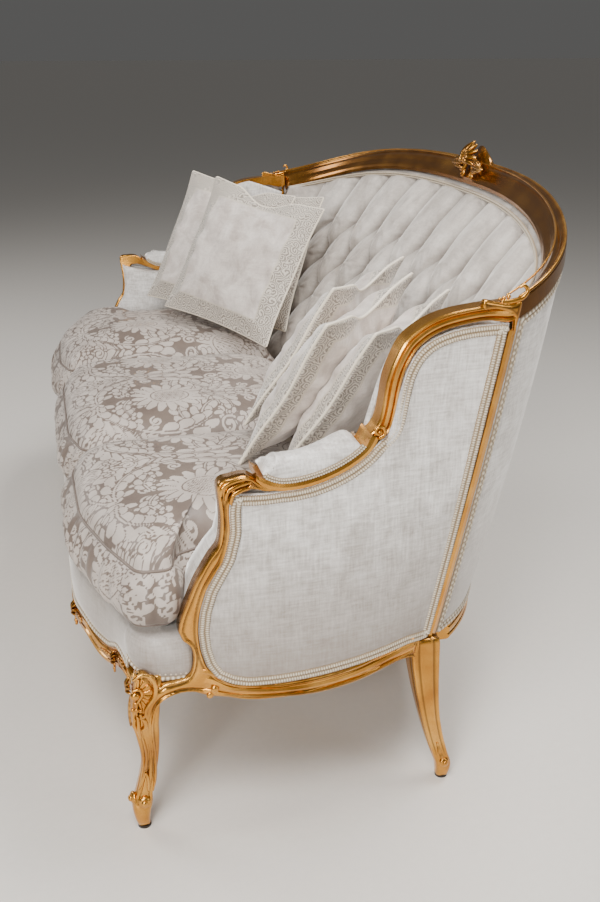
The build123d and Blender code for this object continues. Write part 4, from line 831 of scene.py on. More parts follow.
# legs: rounded square sections on the leg's own centre line, with a bead along each corner and hollow flanks
legShape = {
    "front": [(0.0054, 0.8560, -0.4280, 0.0115, 2.6), (0.018, 0.8590, -0.4300, 0.0130, 2.6),
              (0.040, 0.8600, -0.4305, 0.0165, 2.8), (0.056, 0.8580, -0.4290, 0.0185, 3.0),
              (0.072, 0.8560, -0.4255, 0.0158, 3.0), (0.100, 0.8525, -0.4185, 0.0145, 3.2),
              (0.130, 0.8525, -0.4125, 0.0145, 3.4), (0.160, 0.8565, -0.4110, 0.0165, 3.6),
              (0.200, 0.8630, -0.4130, 0.0203, 4.0), (0.234, 0.8670, -0.4160, 0.0236, 4.0),
              (0.262, 0.8680, -0.4150, 0.0252, 4.0), (0.290, 0.8670, -0.4120, 0.0256, 4.0),
              (0.312, 0.8665, -0.4080, 0.0250, 4.0), (0.328, 0.8660, -0.4060, 0.0215, 3.6)],
    "rear": [(0.0054, 0.8490, 0.1460, 0.0120, 2.8), (0.018, 0.8500, 0.1470, 0.0140, 2.8),
             (0.034, 0.8500, 0.1460, 0.0155, 3.0), (0.058, 0.8475, 0.1380, 0.0160, 3.2),
             (0.095, 0.8445, 0.1270, 0.0170, 3.4), (0.142, 0.8425, 0.1160, 0.0192, 3.6),
             (0.194, 0.8390, 0.1080, 0.0230, 4.0), (0.236, 0.8330, 0.1045, 0.0262, 4.4),
             (0.268, 0.8280, 0.1030, 0.0280, 5.0), (0.300, 0.8262, 0.1020, 0.0280, 6.0),
             (0.3065, 0.8260, 0.1020, 0.0265, 6.0)],
}


def legPoints(table, rows, columns):
    heights = np.array(table)[:, 0]
    z = steps(heights[0], heights[-1], rows * coarse)
    x, y, half, power = (smoothTable(np.array(table)[:, [0, k]], z) for k in (1, 2, 3, 4))
    angle = np.arange(columns) * 2 * math.pi / columns
    c, s = np.cos(angle)[None], np.sin(angle)[None]
    reach = (np.abs(c) ** power[:, None] + np.abs(s) ** power[:, None]) ** (-1 / power[:, None])
    corner = np.abs((angle % (math.pi / 2)) - math.pi / 4)[None]  # 0 at a corner, a quarter pi at a flank's middle
    swell = 0.0016 * np.exp(-(corner / 0.13) ** 2) - 0.0016 * np.exp(-((corner - 0.30) / 0.08) ** 2)
    fade = easeStep(0.045, 0.075, z)[:, None]
    radius = half[:, None] * reach + swell * fade
    # painted shade: the tone is high in the hollow of each flank, where the gilt is darkened
    tone = clip01(np.exp(-((corner - 0.30) / 0.07) ** 2) * fade * 0.9)
    return stack3(x[:, None] + radius * c, y[:, None] + radius * s, z[:, None]), np.broadcast_to(tone, radius.shape)


for key in ("front", "rear"):
    points, tone = legPoints(legShape[key], 120, 96)
    for side, label in bothEnds:
        store = newStore()
        addGrid(store, flipX(points, side), wrapColumns=True, tone=tone, capEnds=True)
        piece = buildMesh(key + "_leg_shape_" + label, store, gilt, "sofa")
        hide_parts(key + "_leg_" + label)
print("legs made")


# outer back panel
backPanel = {"rows": 56, "columns": 160, "puff": 0.005}


def backPanelPoints(s, t):
    S, T = np.meshgrid(s, t)
    head = crestTop(0.8645 * S) - 0.034 - 0.008
    z = mix(0.3072, head, T)
    x = S * (rearHalf(np.minimum(z, 0.941)) - 0.0075)
    step = 0.0005
    at = np.clip(x, -rearHalf(z) + step, rearHalf(z) - step)
    slope = (backY(at + step, z) - backY(at - step, z)) / (2 * step)
    length = np.hypot(slope, 1)
    normal = stack3(-slope / length, 1 / length, 0 * slope)
    puff = backPanel["puff"] * (clip01(1 - S**2) * np.sin(math.pi * clip01(T))) ** 0.6
    return stack3(x, backY(x, z), z) + normal * puff[..., None], normal


s, t = steps(-1, 1, backPanel["columns"] * coarse), steps(0, 1, backPanel["rows"] * coarse)
backPoints, backNormals = backPanelPoints(s, t)
store = newStore()
addSlab(store, backPoints, backPoints - backNormals * 0.0068)
piece = buildMesh("back_panel", store, silverVelvet, "sofa")
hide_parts("back_cover")


def backBorder():
    s = np.linspace(-0.992, 0.992, 1200)
    t = np.linspace(0.012, 0.988, 500)
    low, lowNormal = backPanelPoints(s, np.array([0.012]))
    high, highNormal = backPanelPoints(s, np.array([0.988]))
    left, leftNormal = backPanelPoints(np.array([-0.992]), t)
    right, rightNormal = backPanelPoints(np.array([0.992]), t)
    path = np.concatenate([low[0], right[:, 0], high[0][::-1], left[::-1, 0]])
    normal = np.concatenate([lowNormal[0], rightNormal[:, 0], highNormal[0][::-1], leftNormal[::-1, 0]])
    both = evenPath(np.concatenate([path, normal], 1), gimp["spacing"] * 2.4 / coarse)
    return both[:, :3], unit(both[:, 3:])


store = newStore()
addGimp(store, *backBorder(), bead=0.011)
buildMesh("back_gimp", store, trimThread, "sofa")
print("back panel made")


# buttoned inner back
tufting = {"depth": 0.032, "top": 0.80, "foot": 0.20, "end": 0.90, "rows": 5, "columns": 11,
           "gridRows": 176, "gridColumns": 300}
rowStep = (tufting["top"] - tufting["foot"]) / (tufting["rows"] - 1)
columnStep = 2 * tufting["end"] / (tufting["columns"] - 1)


def backTopLevel(s):
    return 1.056 - 0.050 - 0.004 - (0.115 - 0.0175) * np.abs(s) ** 3.3


def innerEnd(t):
    z = mix(0.346, backTopLevel(1.0), t)
    y = mix(0.008, rearY(0.941) - 0.006, smoothTable([(0.0, 0.0), (0.3, 0.27), (0.6, 0.59), (1.0, 1.0)], t))
    return y, z


def innerBackFace(s, t):
    z = mix(0.346, backTopLevel(s), t)
    topY = backY(0.0, 1.056) - 0.042
    middle = mix(0.092, topY, smoothTable([(0.0, 0.0), (0.264, 0.094), (0.536, 0.372), (0.82, 0.716), (1.0, 1.0)], t))
    end, endZ = innerEnd(t)
    half = innerX(end, endZ) - 0.0012
    half = mix(half, np.minimum(half, 0.872 - 0.042 - 0.0012), t)
    return stack3(s * half, middle - (middle - end) * planShare(s), z)


def tuftHeight(s, t):
    # pillows between crossing creases: the creases run from button to button and are shallowest halfway
    a = s / columnStep
    b = (tufting["top"] - t) / rowStep
    inside = np.clip(b, 0, tufting["rows"] - 1)
    p = np.abs(np.sin(math.pi * (a + 0.5 * inside)))
    q = np.abs(np.sin(math.pi * (a - 0.5 * inside)))
    nearButton = np.abs(np.cos(math.pi * (a + 0.5 * inside)) * np.cos(math.pi * (a - 0.5 * inside)))
    above = clip01(-b / 0.5)
    below = clip01((b - (tufting["rows"] - 1)) / 0.5)
    outside = np.maximum(above, below)
    power = mix(0.5, 0.32, outside)
    puff = (p * q) ** power
    ridge = 0.42 * (1 - nearButton**1.5) * (1 - outside) + 0.35 * outside * (1 - 0.3 * above)
    height = ridge + (1 - ridge) * puff
    # small gathers that run out from each button
    da = a - 0.5 * np.round(2 * a)
    db = inside - np.round(inside)
    turn = np.arctan2(db, 2 * da)
    gather = 0.06 * np.sin(9 * turn + 3 * np.round(2 * a)) * np.exp(-((2 * da) ** 2 + db**2) * 5) * (1 - outside)
    fold = 0.05 * np.sin(2 * math.pi * (3.0 * a + 0.35 * np.sin(2.3 * b + 4 * a))) * above * (1 - puff * 0.5)
    return height + gather + fold


def tuftedBack(s, t):
    face = innerBackFace(s, t)
    height = tuftHeight(s, t)
    fade = np.minimum(np.minimum(clip01((1 - np.abs(s)) / 0.06), clip01((1 - t) / 0.025)), clip01(t / 0.06))
    fade = fade * fade * (3 - 2 * fade)
    sink = tufting["depth"] * (1 - height) * fade
    roll = 0.010 * (1 - np.sqrt(clip01(np.minimum((1 - np.abs(s)) / 0.025, (1 - t) / 0.03))))
    swell = 0.006 * fade * height
    face[..., 1] += sink - swell + roll
    # the second value is the depth of the creases, used as painted shade on the velvet
    return face, clip01(1 - height) * fade


S, T = np.meshgrid(steps(-1, 1, tufting["gridColumns"] * coarse), steps(0, 1, tufting["gridRows"] * coarse))
front, creaseShadeMask = tuftedBack(S, T)
thickness = mix(0.070, 0.016, T**1.5)
rear = innerBackFace(S, T) + stack3(-0.02 * S * np.abs(S) ** 5, thickness * (1 - 0.35 * np.abs(S) ** 6), 0 * S)
rear[..., 1] = np.maximum(rear[..., 1], front[..., 1] + 0.003)
store = newStore()
# the crease depth becomes the tone that paints shade in the creases
addSlab(store, front, rear, tone=easeStep(0.25, 1.0, creaseShadeMask))
piece = buildMesh("buttoned_back", store, buttonedVelvet, "sofa")
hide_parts("back_pad")


def tuftPlaces():
    row, k = np.meshgrid(np.arange(tufting["rows"]), np.arange(-6, 7), indexing="ij")
    s = (k + 0.5 * (row % 2)) * columnStep
    t = tufting["top"] - row * rowStep
    keep = np.abs(s) < tufting["end"] + 0.01
    return s[keep], t[keep]


def addDome(store, centre, normal, radius, height, rings=5, sides=14):
    # a small dome: circles that shrink as cosine while they rise as sine, closed under its rim
    helper = np.array([0.0, 0.0, 1.0]) if abs(normal[2]) < 0.9 else np.array([1.0, 0.0, 0.0])
    side = unit(np.cross(helper, normal))
    up = np.cross(normal, side)
    angle = np.arange(sides) * 2 * math.pi / sides
    reach = radius * np.concatenate([[0.82], np.cos(np.linspace(0, 0.93, rings) * math.pi / 2) ** 0.8])
    lift = height * np.concatenate([[-0.45], np.sin(np.linspace(0, 0.93, rings) * math.pi / 2)])
    ring = side[None] * np.cos(angle)[:, None] + up[None] * np.sin(angle)[:, None]
    points = centre + ring[None] * reach[:, None, None] + normal * lift[:, None, None]
    addGrid(store, points, wrapColumns=True, capEnds=True)


def buttonHeads():
    store = newStore()
    s, t = tuftPlaces()
    at = tuftedBack(s, t)[0]
    above, below = innerBackFace(s, t + 0.02), innerBackFace(s, t - 0.02)
    left, right = innerBackFace(s - 0.01, t), innerBackFace(s + 0.01, t)
    normal = unit(np.cross(right - left, above - below))
    normal = normal * np.where(normal[:, 1:2] > 0, -1, 1)
    for centre, direction in zip(at, normal):
        addDome(store, centre + direction * 0.001, direction, 0.0095, 0.0065)
    return store


piece = buildMesh("button_heads", buttonHeads(), buttonedVelvet, "sofa")
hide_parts("back_tuft_buttons")
store = newStore()
s = np.linspace(-0.985, 0.985, int(900 * coarse))
path = innerBackFace(s, np.full_like(s, 0.986))
path[:, 1] -= 0.002
path = evenPath(path, gimp["spacing"] * 1.5 / coarse)
addGimp(store, path, np.tile(unit(np.array([0.0, -1.0, 0.12])), (len(path), 1)), 0.010)
buildMesh("crest_gimp", store, trimThread, "sofa")
print("buttoned back made")


# inner arm and wing pads
sidePad = {"rows": 70, "columns": 130, "puff": 0.006}


def padEdges():
    def bottom(u):
        y = mix(postFrontY(0.346) + 0.004, innerEnd(0.0)[0] - 0.002, u)
        return np.stack([y, np.full_like(y, 0.346)], -1)

    def front(v):
        z = mix(0.346, 0.671, v)
        return np.stack([postFrontY(z) + 0.004, z], -1)

    def rear(v):
        y, z = innerEnd(mix(0.0, 0.97, v))
        return np.stack([y - 0.002, z], -1)

    def rawTop(u):
        arm = armLow(mix(0.02, 0.97, clip01(u / 0.42))) - np.array([0.0, 0.002])
        late = clip01((u - 0.42) / 0.58)
        wing = wingEdge("wingOuter", mix(0.10, 0.93, late)) + np.stack([0.005 * (1 - late), -0.005 + 0 * late], -1)
        return np.where((u < 0.42)[:, None], arm, wing)

    return bottom, meetEnds(rawTop, front, rear, 0.1), front, rear


u, v = steps(0, 1, sidePad["columns"] * coarse), steps(0, 1, sidePad["rows"] * coarse)
yz = patchYZ(*padEdges(), u, v)
y, z = yz[..., 0], yz[..., 1]
low = clip01((z - 0.500) / 0.197)
run = clip01((sideShare(y, z) - 0.22) / 0.78)
outerX = sideX(y, z) - mix(0.028, 0.042, easeStep(0.1, 0.9, run)) - 0.002
edge = np.minimum(np.minimum(u[None] / 0.06, (1 - v)[:, None] / 0.08), 1.0)
puff = sidePad["puff"] * (np.sin(math.pi * u)[None] * np.sin(math.pi * v)[:, None]) ** 0.5
innerFace = np.minimum(innerX(y, z) + 0.009 * (1 - edge) ** 2 - puff, outerX - 0.003)
for side, label in bothEnds:
    store = newStore()
    addSlab(store, flipX(stack3(innerFace, y, z), side), flipX(stack3(outerX, y, z), side))
    piece = buildMesh("inner_pad_" + label, store, silverVelvet, "sofa")
    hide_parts("inner_side_pad_" + label)
    store = newStore()
    t = steps(0.06, 0.95, 160 * coarse)
    endY, endZ = innerEnd(t)
    path = stack3(innerX(endY, endZ) - 0.004, endY - 0.006, endZ)
    normal = np.tile(unit(np.array([-1.0, -1.0, 0.0])), (len(path), 1))
    addTube(store, flipX(path, side), flipX(normal, side), 0.0032, 0.0032, 10)
    buildMesh("wing_piping_" + label, store, pipingCloth, "sofa")
print("inner pads made")


# arm pads
armPad = {"height": 0.039, "start": 0.0, "end": 0.915, "rows": 70}


def armPadRing(share, angle):
    # half-round section on the arm rail: flat under it, a full crown over it, lower at both ends
    along = (share - armPad["start"]) / (armPad["end"] - armPad["start"])
    swell = np.sqrt(clip01(1 - np.abs(2 * along - 1) ** 6))
    height = armPad["height"] * mix(0.45, 1.0, swell)
    half = 0.0305 * mix(0.97, 1.0, swell)
    rise = 0.0142 + height * np.maximum(np.sin(angle), 0) ** 0.7
    base = armLow(share)
    normal = armNormal(share)
    seat = base + normal * 0.013
    place = base + normal * rise[..., None]
    centre = sideX(seat[..., 0], seat[..., 1]) - 0.030
    return stack3(centre + half * np.sign(np.cos(angle)) * np.abs(np.cos(angle)) ** 0.85, place[..., 0], place[..., 1])


padShares = steps(armPad["start"], armPad["end"], armPad["rows"] * coarse)
share, angle = np.meshgrid(padShares, np.linspace(0, math.pi, 24), indexing="ij")
padPoints = armPadRing(share, angle)
for side, label in bothEnds:
    store = newStore()
    addGrid(store, flipX(padPoints, side), wrapColumns=True, capEnds=True)
    piece = buildMesh("arm_cushion_" + label, store, silverVelvet, "sofa")
    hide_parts("arm_pad_" + label)
    store = newStore()
    shares = np.linspace(armPad["start"] + 0.01, armPad["end"] + 0.02, 400)
    for edgeSide in (0, 1):
        base = armLow(shares) + armNormal(shares) * 0.0165
        face = sideX(base[:, 0], base[:, 1])
        x = face + 0.0005 if edgeSide == 0 else face - 0.0605
        path = evenPath(stack3(x, base[:, 0], base[:, 1]), gimp["spacing"] / coarse)
        normal = np.tile([1.0 if edgeSide == 0 else -1.0, 0, 0.0], (len(path), 1))
        addGimp(store, flipX(path, side), flipX(normal, side), 0.009)
    buildMesh("arm_gimp_" + label, store, trimThread, "sofa")
print("arm pads made")


# padded seat border
seatBorder = {"swell": 0.008, "thickness": 0.062}


def borderPlan():
    # plan edge from the left arm post, round the front corner and along the front, with its outward direction
    x = np.linspace(0, 0.815, int(150 * coarse))
    frontPart = np.stack([x, frontEdgeY(x), 0 * x, -1 + 0 * x, frontRailHigh(x) + 0.004], -1)
    radiusX = sideX(-0.352, 0.334) - 0.815
    radiusY = -0.378 - frontEdgeY(np.array([0.815]))[0]
    turn = np.radians(np.linspace(6, 90, 24))
    x, y = 0.815 + radiusX * np.sin(turn), -0.378 - radiusY * np.cos(turn)
    cornerPart = np.stack([x, y, np.sin(turn), -np.cos(turn), mix(0.3352, 0.3180, clip01((turn - 0.3) / 0.9))], -1)
    endPart = np.array([[sideX(-0.352, 0.334), y, 1.0, 0.0, 0.3160] for y in (-0.360, -0.350, -0.340, -0.332)])
    right = np.concatenate([frontPart, cornerPart, endPart])
    left = right[:0:-1] * np.array([-1, 1, -1, 1, 1])
    return np.concatenate([left, right])


def planOffset(plan, reach, z):  # points a distance outward from the plan edge
    return stack3(plan[..., 0] + plan[..., 2] * reach, plan[..., 1] + plan[..., 3] * reach, z)


def borderPoints():
    plan = borderPlan()
    profile = np.array([(0.0, 0.0), (-0.55, 0.06), (-0.9, 0.2), (-1.0, 0.38), (-1.0, 0.55), (-0.88, 0.72),
                        (-0.6, 0.86), (-0.15, 0.95), (0.6, 1.0)])
    at = np.linspace(0, 1, 22)
    source = np.linspace(0, 1, len(profile))
    out = smoothTable(np.stack([source, profile[:, 0]], -1), at)
    up = smoothTable(np.stack([source, profile[:, 1]], -1), at)
    reach = -seatBorder["swell"] * out
    centre = plan[:, None]
    rows = planOffset(centre, reach, mix(centre[..., 4], 0.395, up))
    inner = [(-seatBorder["thickness"], 0.395), (-seatBorder["thickness"], 0.3386), (-0.012, 0.3386)]
    closing = [planOffset(plan, a, b)[:, None] for a, b in inner]
    closing.append(planOffset(plan, -0.012, plan[:, 4])[:, None])
    return np.concatenate([rows] + closing, 1)


store = newStore()
borderGrid = borderPoints()
addGrid(store, borderGrid, wrapColumns=True, capEnds=True)
piece = buildMesh("seat_border_pad", store, silverVelvet, "sofa")
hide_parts("seat_border")
store = newStore()
plan = borderPlan()
path = planOffset(plan, 0.004, plan[:, 4] + 0.0065)
outward = stack3(plan[:, 2], plan[:, 3], 0.25)
both = evenPath(np.concatenate([path, outward], 1), gimp["spacing"] * 2.0 / coarse)
addGimp(store, both[:, :3], unit(both[:, 3:]), bead=0.0088)
buildMesh("border_gimp", store, trimThread, "sofa")
print("seat border made")


# seat deck
def deckOutline():
    s = np.linspace(-1, 1, 41)
    sweep = smoothTable([(0.0, 0.0), (0.4, 0.10), (0.7, 0.33), (0.88, 0.62), (1.0, 1.0)], np.abs(s))
    rearLine = np.stack([s * 0.767, mix(0.092, 0.008, sweep) - 0.008], -1)
    frontLine = np.array([(0.767, -0.362), (0.640, -0.422), (0.320, -0.442), (-0.320, -0.442), (-0.640, -0.422),
                          (-0.767, -0.362)])
    return evenPath(np.concatenate([rearLine, frontLine]), 0.02, closed=True)


outline = deckOutline()
middle = outline.mean(0)
levels = [(0.3386, 0.985), (0.3390, 1.0), (0.388, 1.0), (0.3935, 0.985), (0.3945, 0.95), (0.3947, 0.5)]
store = newStore()
rings = np.stack([stack3(*(middle + (outline - middle) * size).T, level) for level, size in levels])
addGrid(store, rings, wrapColumns=True, capEnds=True)
piece = buildMesh("deck_pad", store, deckCloth, "sofa")
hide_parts("seat_deck")


# damask figure
damaskRepeat = {"width": 0.30, "height": 0.44, "cell": 0.0011}


def bend(p0, p1, p2, t):  # quadratic curve through its control points
    t = np.asarray(t)[:, None]
    return (1 - t) ** 2 * np.array(p0) + 2 * t * (1 - t) * np.array(p1) + t**2 * np.array(p2)


def turned(direction, angle):
    c, s = math.cos(angle), math.sin(angle)
    return np.array([direction[0] * c - direction[1] * s, direction[0] * s + direction[1] * c])


def leafStrokes(p0, p1, p2, lobes, length, width, sides=(-1, 1)):
    # a leaf: hooked lobes that leave the rib on both sides from its tip back to its root, then the rib itself
    strokes = []
    spine = bend(p0, p1, p2, np.linspace(0.04, 1, lobes + 1))
    ahead = unit(np.gradient(spine, axis=0))
    for k in range(lobes, -1, -1):
        fall = 0.35 + 0.75 * math.sin(math.pi * (0.12 + 0.80 * k / lobes)) ** 0.8
        for turn in sides:
            spread = 0.25 if k == lobes else 0.95
            knee = spine[k] + turned(ahead[k], spread * turn) * length * fall * 0.65
            end = knee + turned(ahead[k], (spread - 1.25) * turn) * length * fall * 0.55
            t = np.linspace(0, 1, 22)
            swell = 0.22 + 0.78 * np.sin(math.pi * np.minimum(t * 0.62 + 0.12, 1.0)) ** 1.5
            thick = width * fall * swell * (1 - 0.65 * clip01((t - 0.75) / 0.25) ** 2)
            strokes.append((bend(spine[k], knee, end, t), thick))
    strokes.append((bend(p0, p1, p2, np.linspace(0, 1, 50)), width * 0.28 * np.linspace(1, 0.4, 50)))
    return strokes


def curlStroke(centre, radius, turns, start, width):
    # spiral that tightens towards its middle and ends in a bead
    t = np.linspace(0, 1, 60)
    angle = start + turns * 2 * math.pi * t
    reach = radius * (1 - 0.8 * t)
    path = np.stack([centre[0] + reach * np.cos(angle), centre[1] + reach * np.sin(angle)], -1)
    return [(path, width * (0.7 + 0.9 * t**4))]


def flowerStrokes(centre, radius, petals, width):
    strokes = []
    for k in range(petals):
        angle = 2 * math.pi * (k + 0.5) / petals
        direction = np.array([math.cos(angle), math.sin(angle)])
        t = np.linspace(0, 1, 12)
        path = np.array(centre) + direction * (radius * (0.30 + 0.7 * t))[:, None]
        strokes.append((path, width * np.sin(math.pi * (0.2 + 0.65 * t))))
    return strokes + [(np.array([centre]), np.array([radius * 0.24]))]


def damaskStrokes():
    # half of the figure; the other half is its mirror image
    strokes = []
    petals, reach, width = 9, 0.070, 0.0112  # round the fruit
    for k in range(petals):
        angle = math.pi * (-0.5 + (k + 0.5) / petals)
        tip = (reach * math.cos(angle), (reach + 0.012) * math.sin(angle) + 0.012)
        root = (0.034 * math.cos(angle), 0.044 * math.sin(angle) + 0.012)
        t = np.linspace(0, 1, 16)
        strokes.append((bend(root, root, tip, t), width * np.sin(math.pi * (0.12 + 0.72 * t)) ** 0.8))
    strokes += leafStrokes((0.010, -0.150), (0.090, -0.165), (0.132, -0.070), 6, 0.044, 0.0096)
    strokes += leafStrokes((0.126, -0.060), (0.150, 0.030), (0.104, 0.096), 5, 0.038, 0.0092)
    strokes += leafStrokes((0.010, -0.080), (0.044, -0.108), (0.078, -0.082), 4, 0.024, 0.0070)
    strokes += leafStrokes((0.006, 0.082), (0.026, 0.142), (0.084, 0.142), 4, 0.030, 0.0082)
    strokes += leafStrokes((0.000, 0.092), (0.000, 0.130), (0.000, 0.182), 4, 0.024, 0.0074, (1,))
    strokes += leafStrokes((0.016, -0.168), (0.050, -0.206), (0.104, -0.196), 4, 0.028, 0.0076)
    strokes += curlStroke((0.128, 0.128), 0.020, 1.25, 2.4, 0.0036)
    strokes += curlStroke((0.140, -0.118), 0.014, 1.2, -1.0, 0.0032)
    strokes += curlStroke((0.032, -0.196), 0.012, 1.2, 1.5, 0.0030)
    strokes += curlStroke((0.104, -0.030), 0.015, 1.2, 3.4, 0.0032)
    strokes += flowerStrokes((0.118, 0.168), 0.020, 6, 0.0064)
    strokes += flowerStrokes((0.134, -0.152), 0.015, 6, 0.0050)
    return strokes


def paintTile():
    # the strokes are stamped as soft discs on a wrapping grid, twice, with a half drop
    cell = damaskRepeat["cell"]
    columns, rows = int(damaskRepeat["width"] / cell), int(damaskRepeat["height"] / cell)
    tile = np.zeros((rows, columns))

    def stamp(x, y, radius, value):
        reach = int(radius / cell) + 2
        i, j = int(round(x / cell)), int(round(y / cell))
        ii, jj = np.arange(i - reach, i + reach + 1), np.arange(j - reach, j + reach + 1)
        distance = np.hypot(ii[None] * cell - x, jj[:, None] * cell - y)
        cover = clip01((radius - distance) / cell + 0.5)
        block = np.ix_(jj % rows, ii % columns)
        tile[block] = np.maximum(tile[block], cover) if value else tile[block] * (1 - cover)

    strokes = damaskStrokes()
    for dropX, dropY in ((0, 0), (damaskRepeat["width"] / 2, damaskRepeat["height"] / 2)):
        for flip in (1, -1):
            for path, width in strokes:  # a gap round each lobe, then the lobe
                for gap, cover in ((0.0023, False), (0.0, True)):
                    for (x, y), w in zip(path, np.broadcast_to(width, len(path))):
                        stamp(flip * x + dropX, y + dropY, w + gap, cover)
        for ringSize, cover in ((1.0, True), (0.86, False), (0.80, True)):  # the fruit in the middle
            angle = np.linspace(0, 2 * math.pi, 120)
            for a in angle:
                for depth in np.linspace(0, 1, 9):
                    x, y = 0.038 * ringSize * depth * math.cos(a), 0.048 * ringSize * depth * math.sin(a)
                    stamp(dropX + x, dropY + 0.012 + y, 0.0030, cover)
        for row in range(-5, 6):  # seeds
            for column in range(-4, 5):
                x, y = (column + 0.5 * (row % 2)) * 0.0082, row * 0.0078
                if (x / 0.0290) ** 2 + (y / 0.0380) ** 2 < 1:
                    angle = np.linspace(0, 2 * math.pi, 12)
                    for a in angle:
                        stamp(dropX + x + 0.0032 * math.cos(a), dropY + 0.012 + y + 0.0032 * math.sin(a), 0.0008, False)
    return tile


tile = paintTile()


def damaskTone(u, v):  # reads the repeat at cloth coordinates in metres
    x = (u / damaskRepeat["width"] % 1.0) * tile.shape[1]
    y = (v / damaskRepeat["height"] % 1.0) * tile.shape[0]
    i, j = x.astype(int), y.astype(int)
    fx, fy = x - i, y - j
    i1, j1 = (i + 1) % tile.shape[1], (j + 1) % tile.shape[0]
    i, j = i % tile.shape[1], j % tile.shape[0]
    return mix(mix(tile[j, i], tile[j, i1], fx), mix(tile[j1, i], tile[j1, i1], fx), fy)


print("damask figure painted")


# seat cushions
seatCushion = {"base": 0.396, "seamLow": 0.418, "seamHigh": 0.512, "crown": 0.066, "columns": 760, "piping": 0.0030}


def smoothOutline(corners, radiusShare, count):
    # closed outline with each corner turned by a quadratic curve
    corners = np.array(corners, float)
    before, after = np.roll(corners, 1, 0), np.roll(corners, -1, 0)
    cutBefore = radiusShare * np.linalg.norm(corners - before, axis=1)
    cutAfter = radiusShare * np.linalg.norm(after - corners, axis=1)
    cut = np.minimum(cutBefore, cutAfter)[:, None]
    p = corners + unit(before - corners) * cut
    q = corners + unit(after - corners) * cut
    t = np.linspace(0, 1, 14)[None, :, None]
    points = ((1 - t) ** 2 * p[:, None] + 2 * t * (1 - t) * corners[:, None] + t**2 * q[:, None]).reshape(-1, 2)
    path = evenPath(points, 0.0005, closed=True)
    pick = np.linspace(0, len(path), count, endpoint=False).astype(int)
    return path[pick]


def cushionShell(outline, centre, phase):
    # rings from the underside's middle, round the boxed side between two seams, over the crown to the middle
    base, low, high = seatCushion["base"], seatCushion["seamLow"], seatCushion["seamHigh"]
    outward = unit(np.stack([np.roll(outline, -1, 0)[:, 1] - np.roll(outline, 1, 0)[:, 1],
                             -(np.roll(outline, -1, 0)[:, 0] - np.roll(outline, 1, 0)[:, 0])], -1))
    if ((outline - outline.mean(0)) * outward).sum() < 0:
        outward = -outward
    crownRows = int(96 * coarse)
    rings, drops = [], []
    for t in np.linspace(0.06, 1, int(8 * coarse)):  # underside
        rings.append((t * 0.955, base + 0.0006 + (low - base) * 0.75 * easeStep(0.86, 1.0, t), 0.0))
        drops.append(0.30 + 0.25 * (1 - t))
    rings.append((0.975, low, 0.0))
    drops.append(0.11)
    for t in np.linspace(0.02, 0.98, int(36 * coarse)):  # boxed side, swelling between the seams
        rings.append((mix(0.975, 0.945, t), mix(low, high, t), 0.022 * math.sin(math.pi * t**0.85) ** 0.7))
        drops.append(0.092 * (1 - t) + 0.004)
    for t in np.linspace(0.0, 0.985, crownRows):  # crown
        size = 0.945 * (1 - t)
        rings.append((size, high + seatCushion["crown"] * (1 - (1 - t) ** 4.0) ** 0.56, 0.0))
        drops.append(0.0)
    rings, drops = np.array(rings), np.array(drops)
    away = outline - centre
    column = np.arange(len(outline)) * 2 * math.pi / len(outline)
    gather = 0.0016 * np.sin(38 * column + 5 * np.sin(7 * column)) + 0.0012 * np.sin(61 * column + phase * 9)
    puff = rings[:, 2][:, None] + gather[None] * (rings[:, 2] / 0.016)[:, None]
    xy = centre + away[None] * rings[:, 0][:, None, None] + outward[None] * puff[..., None]
    z = np.broadcast_to(rings[:, 1][:, None], xy.shape[:2]).copy()
    onTop = np.arange(len(rings)) >= len(rings) - crownRows
    sag = 0.004 * np.sin(xy[..., 0] * 19 + phase) * np.sin(xy[..., 1] * 15 + phase * 2)
    nearSeam = np.exp(-((rings[:, 0] - 0.88) / 0.07) ** 2)[:, None]
    sag = sag + 0.0022 * np.sin(30 * column + 4 * np.sin(5 * column))[None] * nearSeam
    z += np.where(onTop[:, None], sag * clip01((0.97 - rings[:, 0]) * 4)[:, None], 0)
    flat = xy + outward[None] * drops[:, None, None]
    uv = flat + np.array([phase * 0.037, 0.06])
    return np.concatenate([xy, z[..., None]], -1), uv


def endOutline(side):
    corners = [(0.3015, 0.084), (0.3015, -0.490), (0.392, -0.516), (0.620, -0.510), (0.770, -0.466), (0.874, -0.424),
               (0.878, -0.366), (0.822, -0.352), (0.797, -0.300), (0.797, 0.004), (0.700, 0.050), (0.520, 0.074)]
    return smoothOutline([(side * x, y) for x, y in corners], 0.30, int(seatCushion["columns"] * coarse))


def middleOutline():
    corners = [(-0.2985, 0.084), (-0.2985, -0.486), (-0.18, -0.515), (0.18, -0.515), (0.2985, -0.486),
               (0.2985, 0.084)]
    return smoothOutline(corners, 0.30, int(seatCushion["columns"] * coarse))


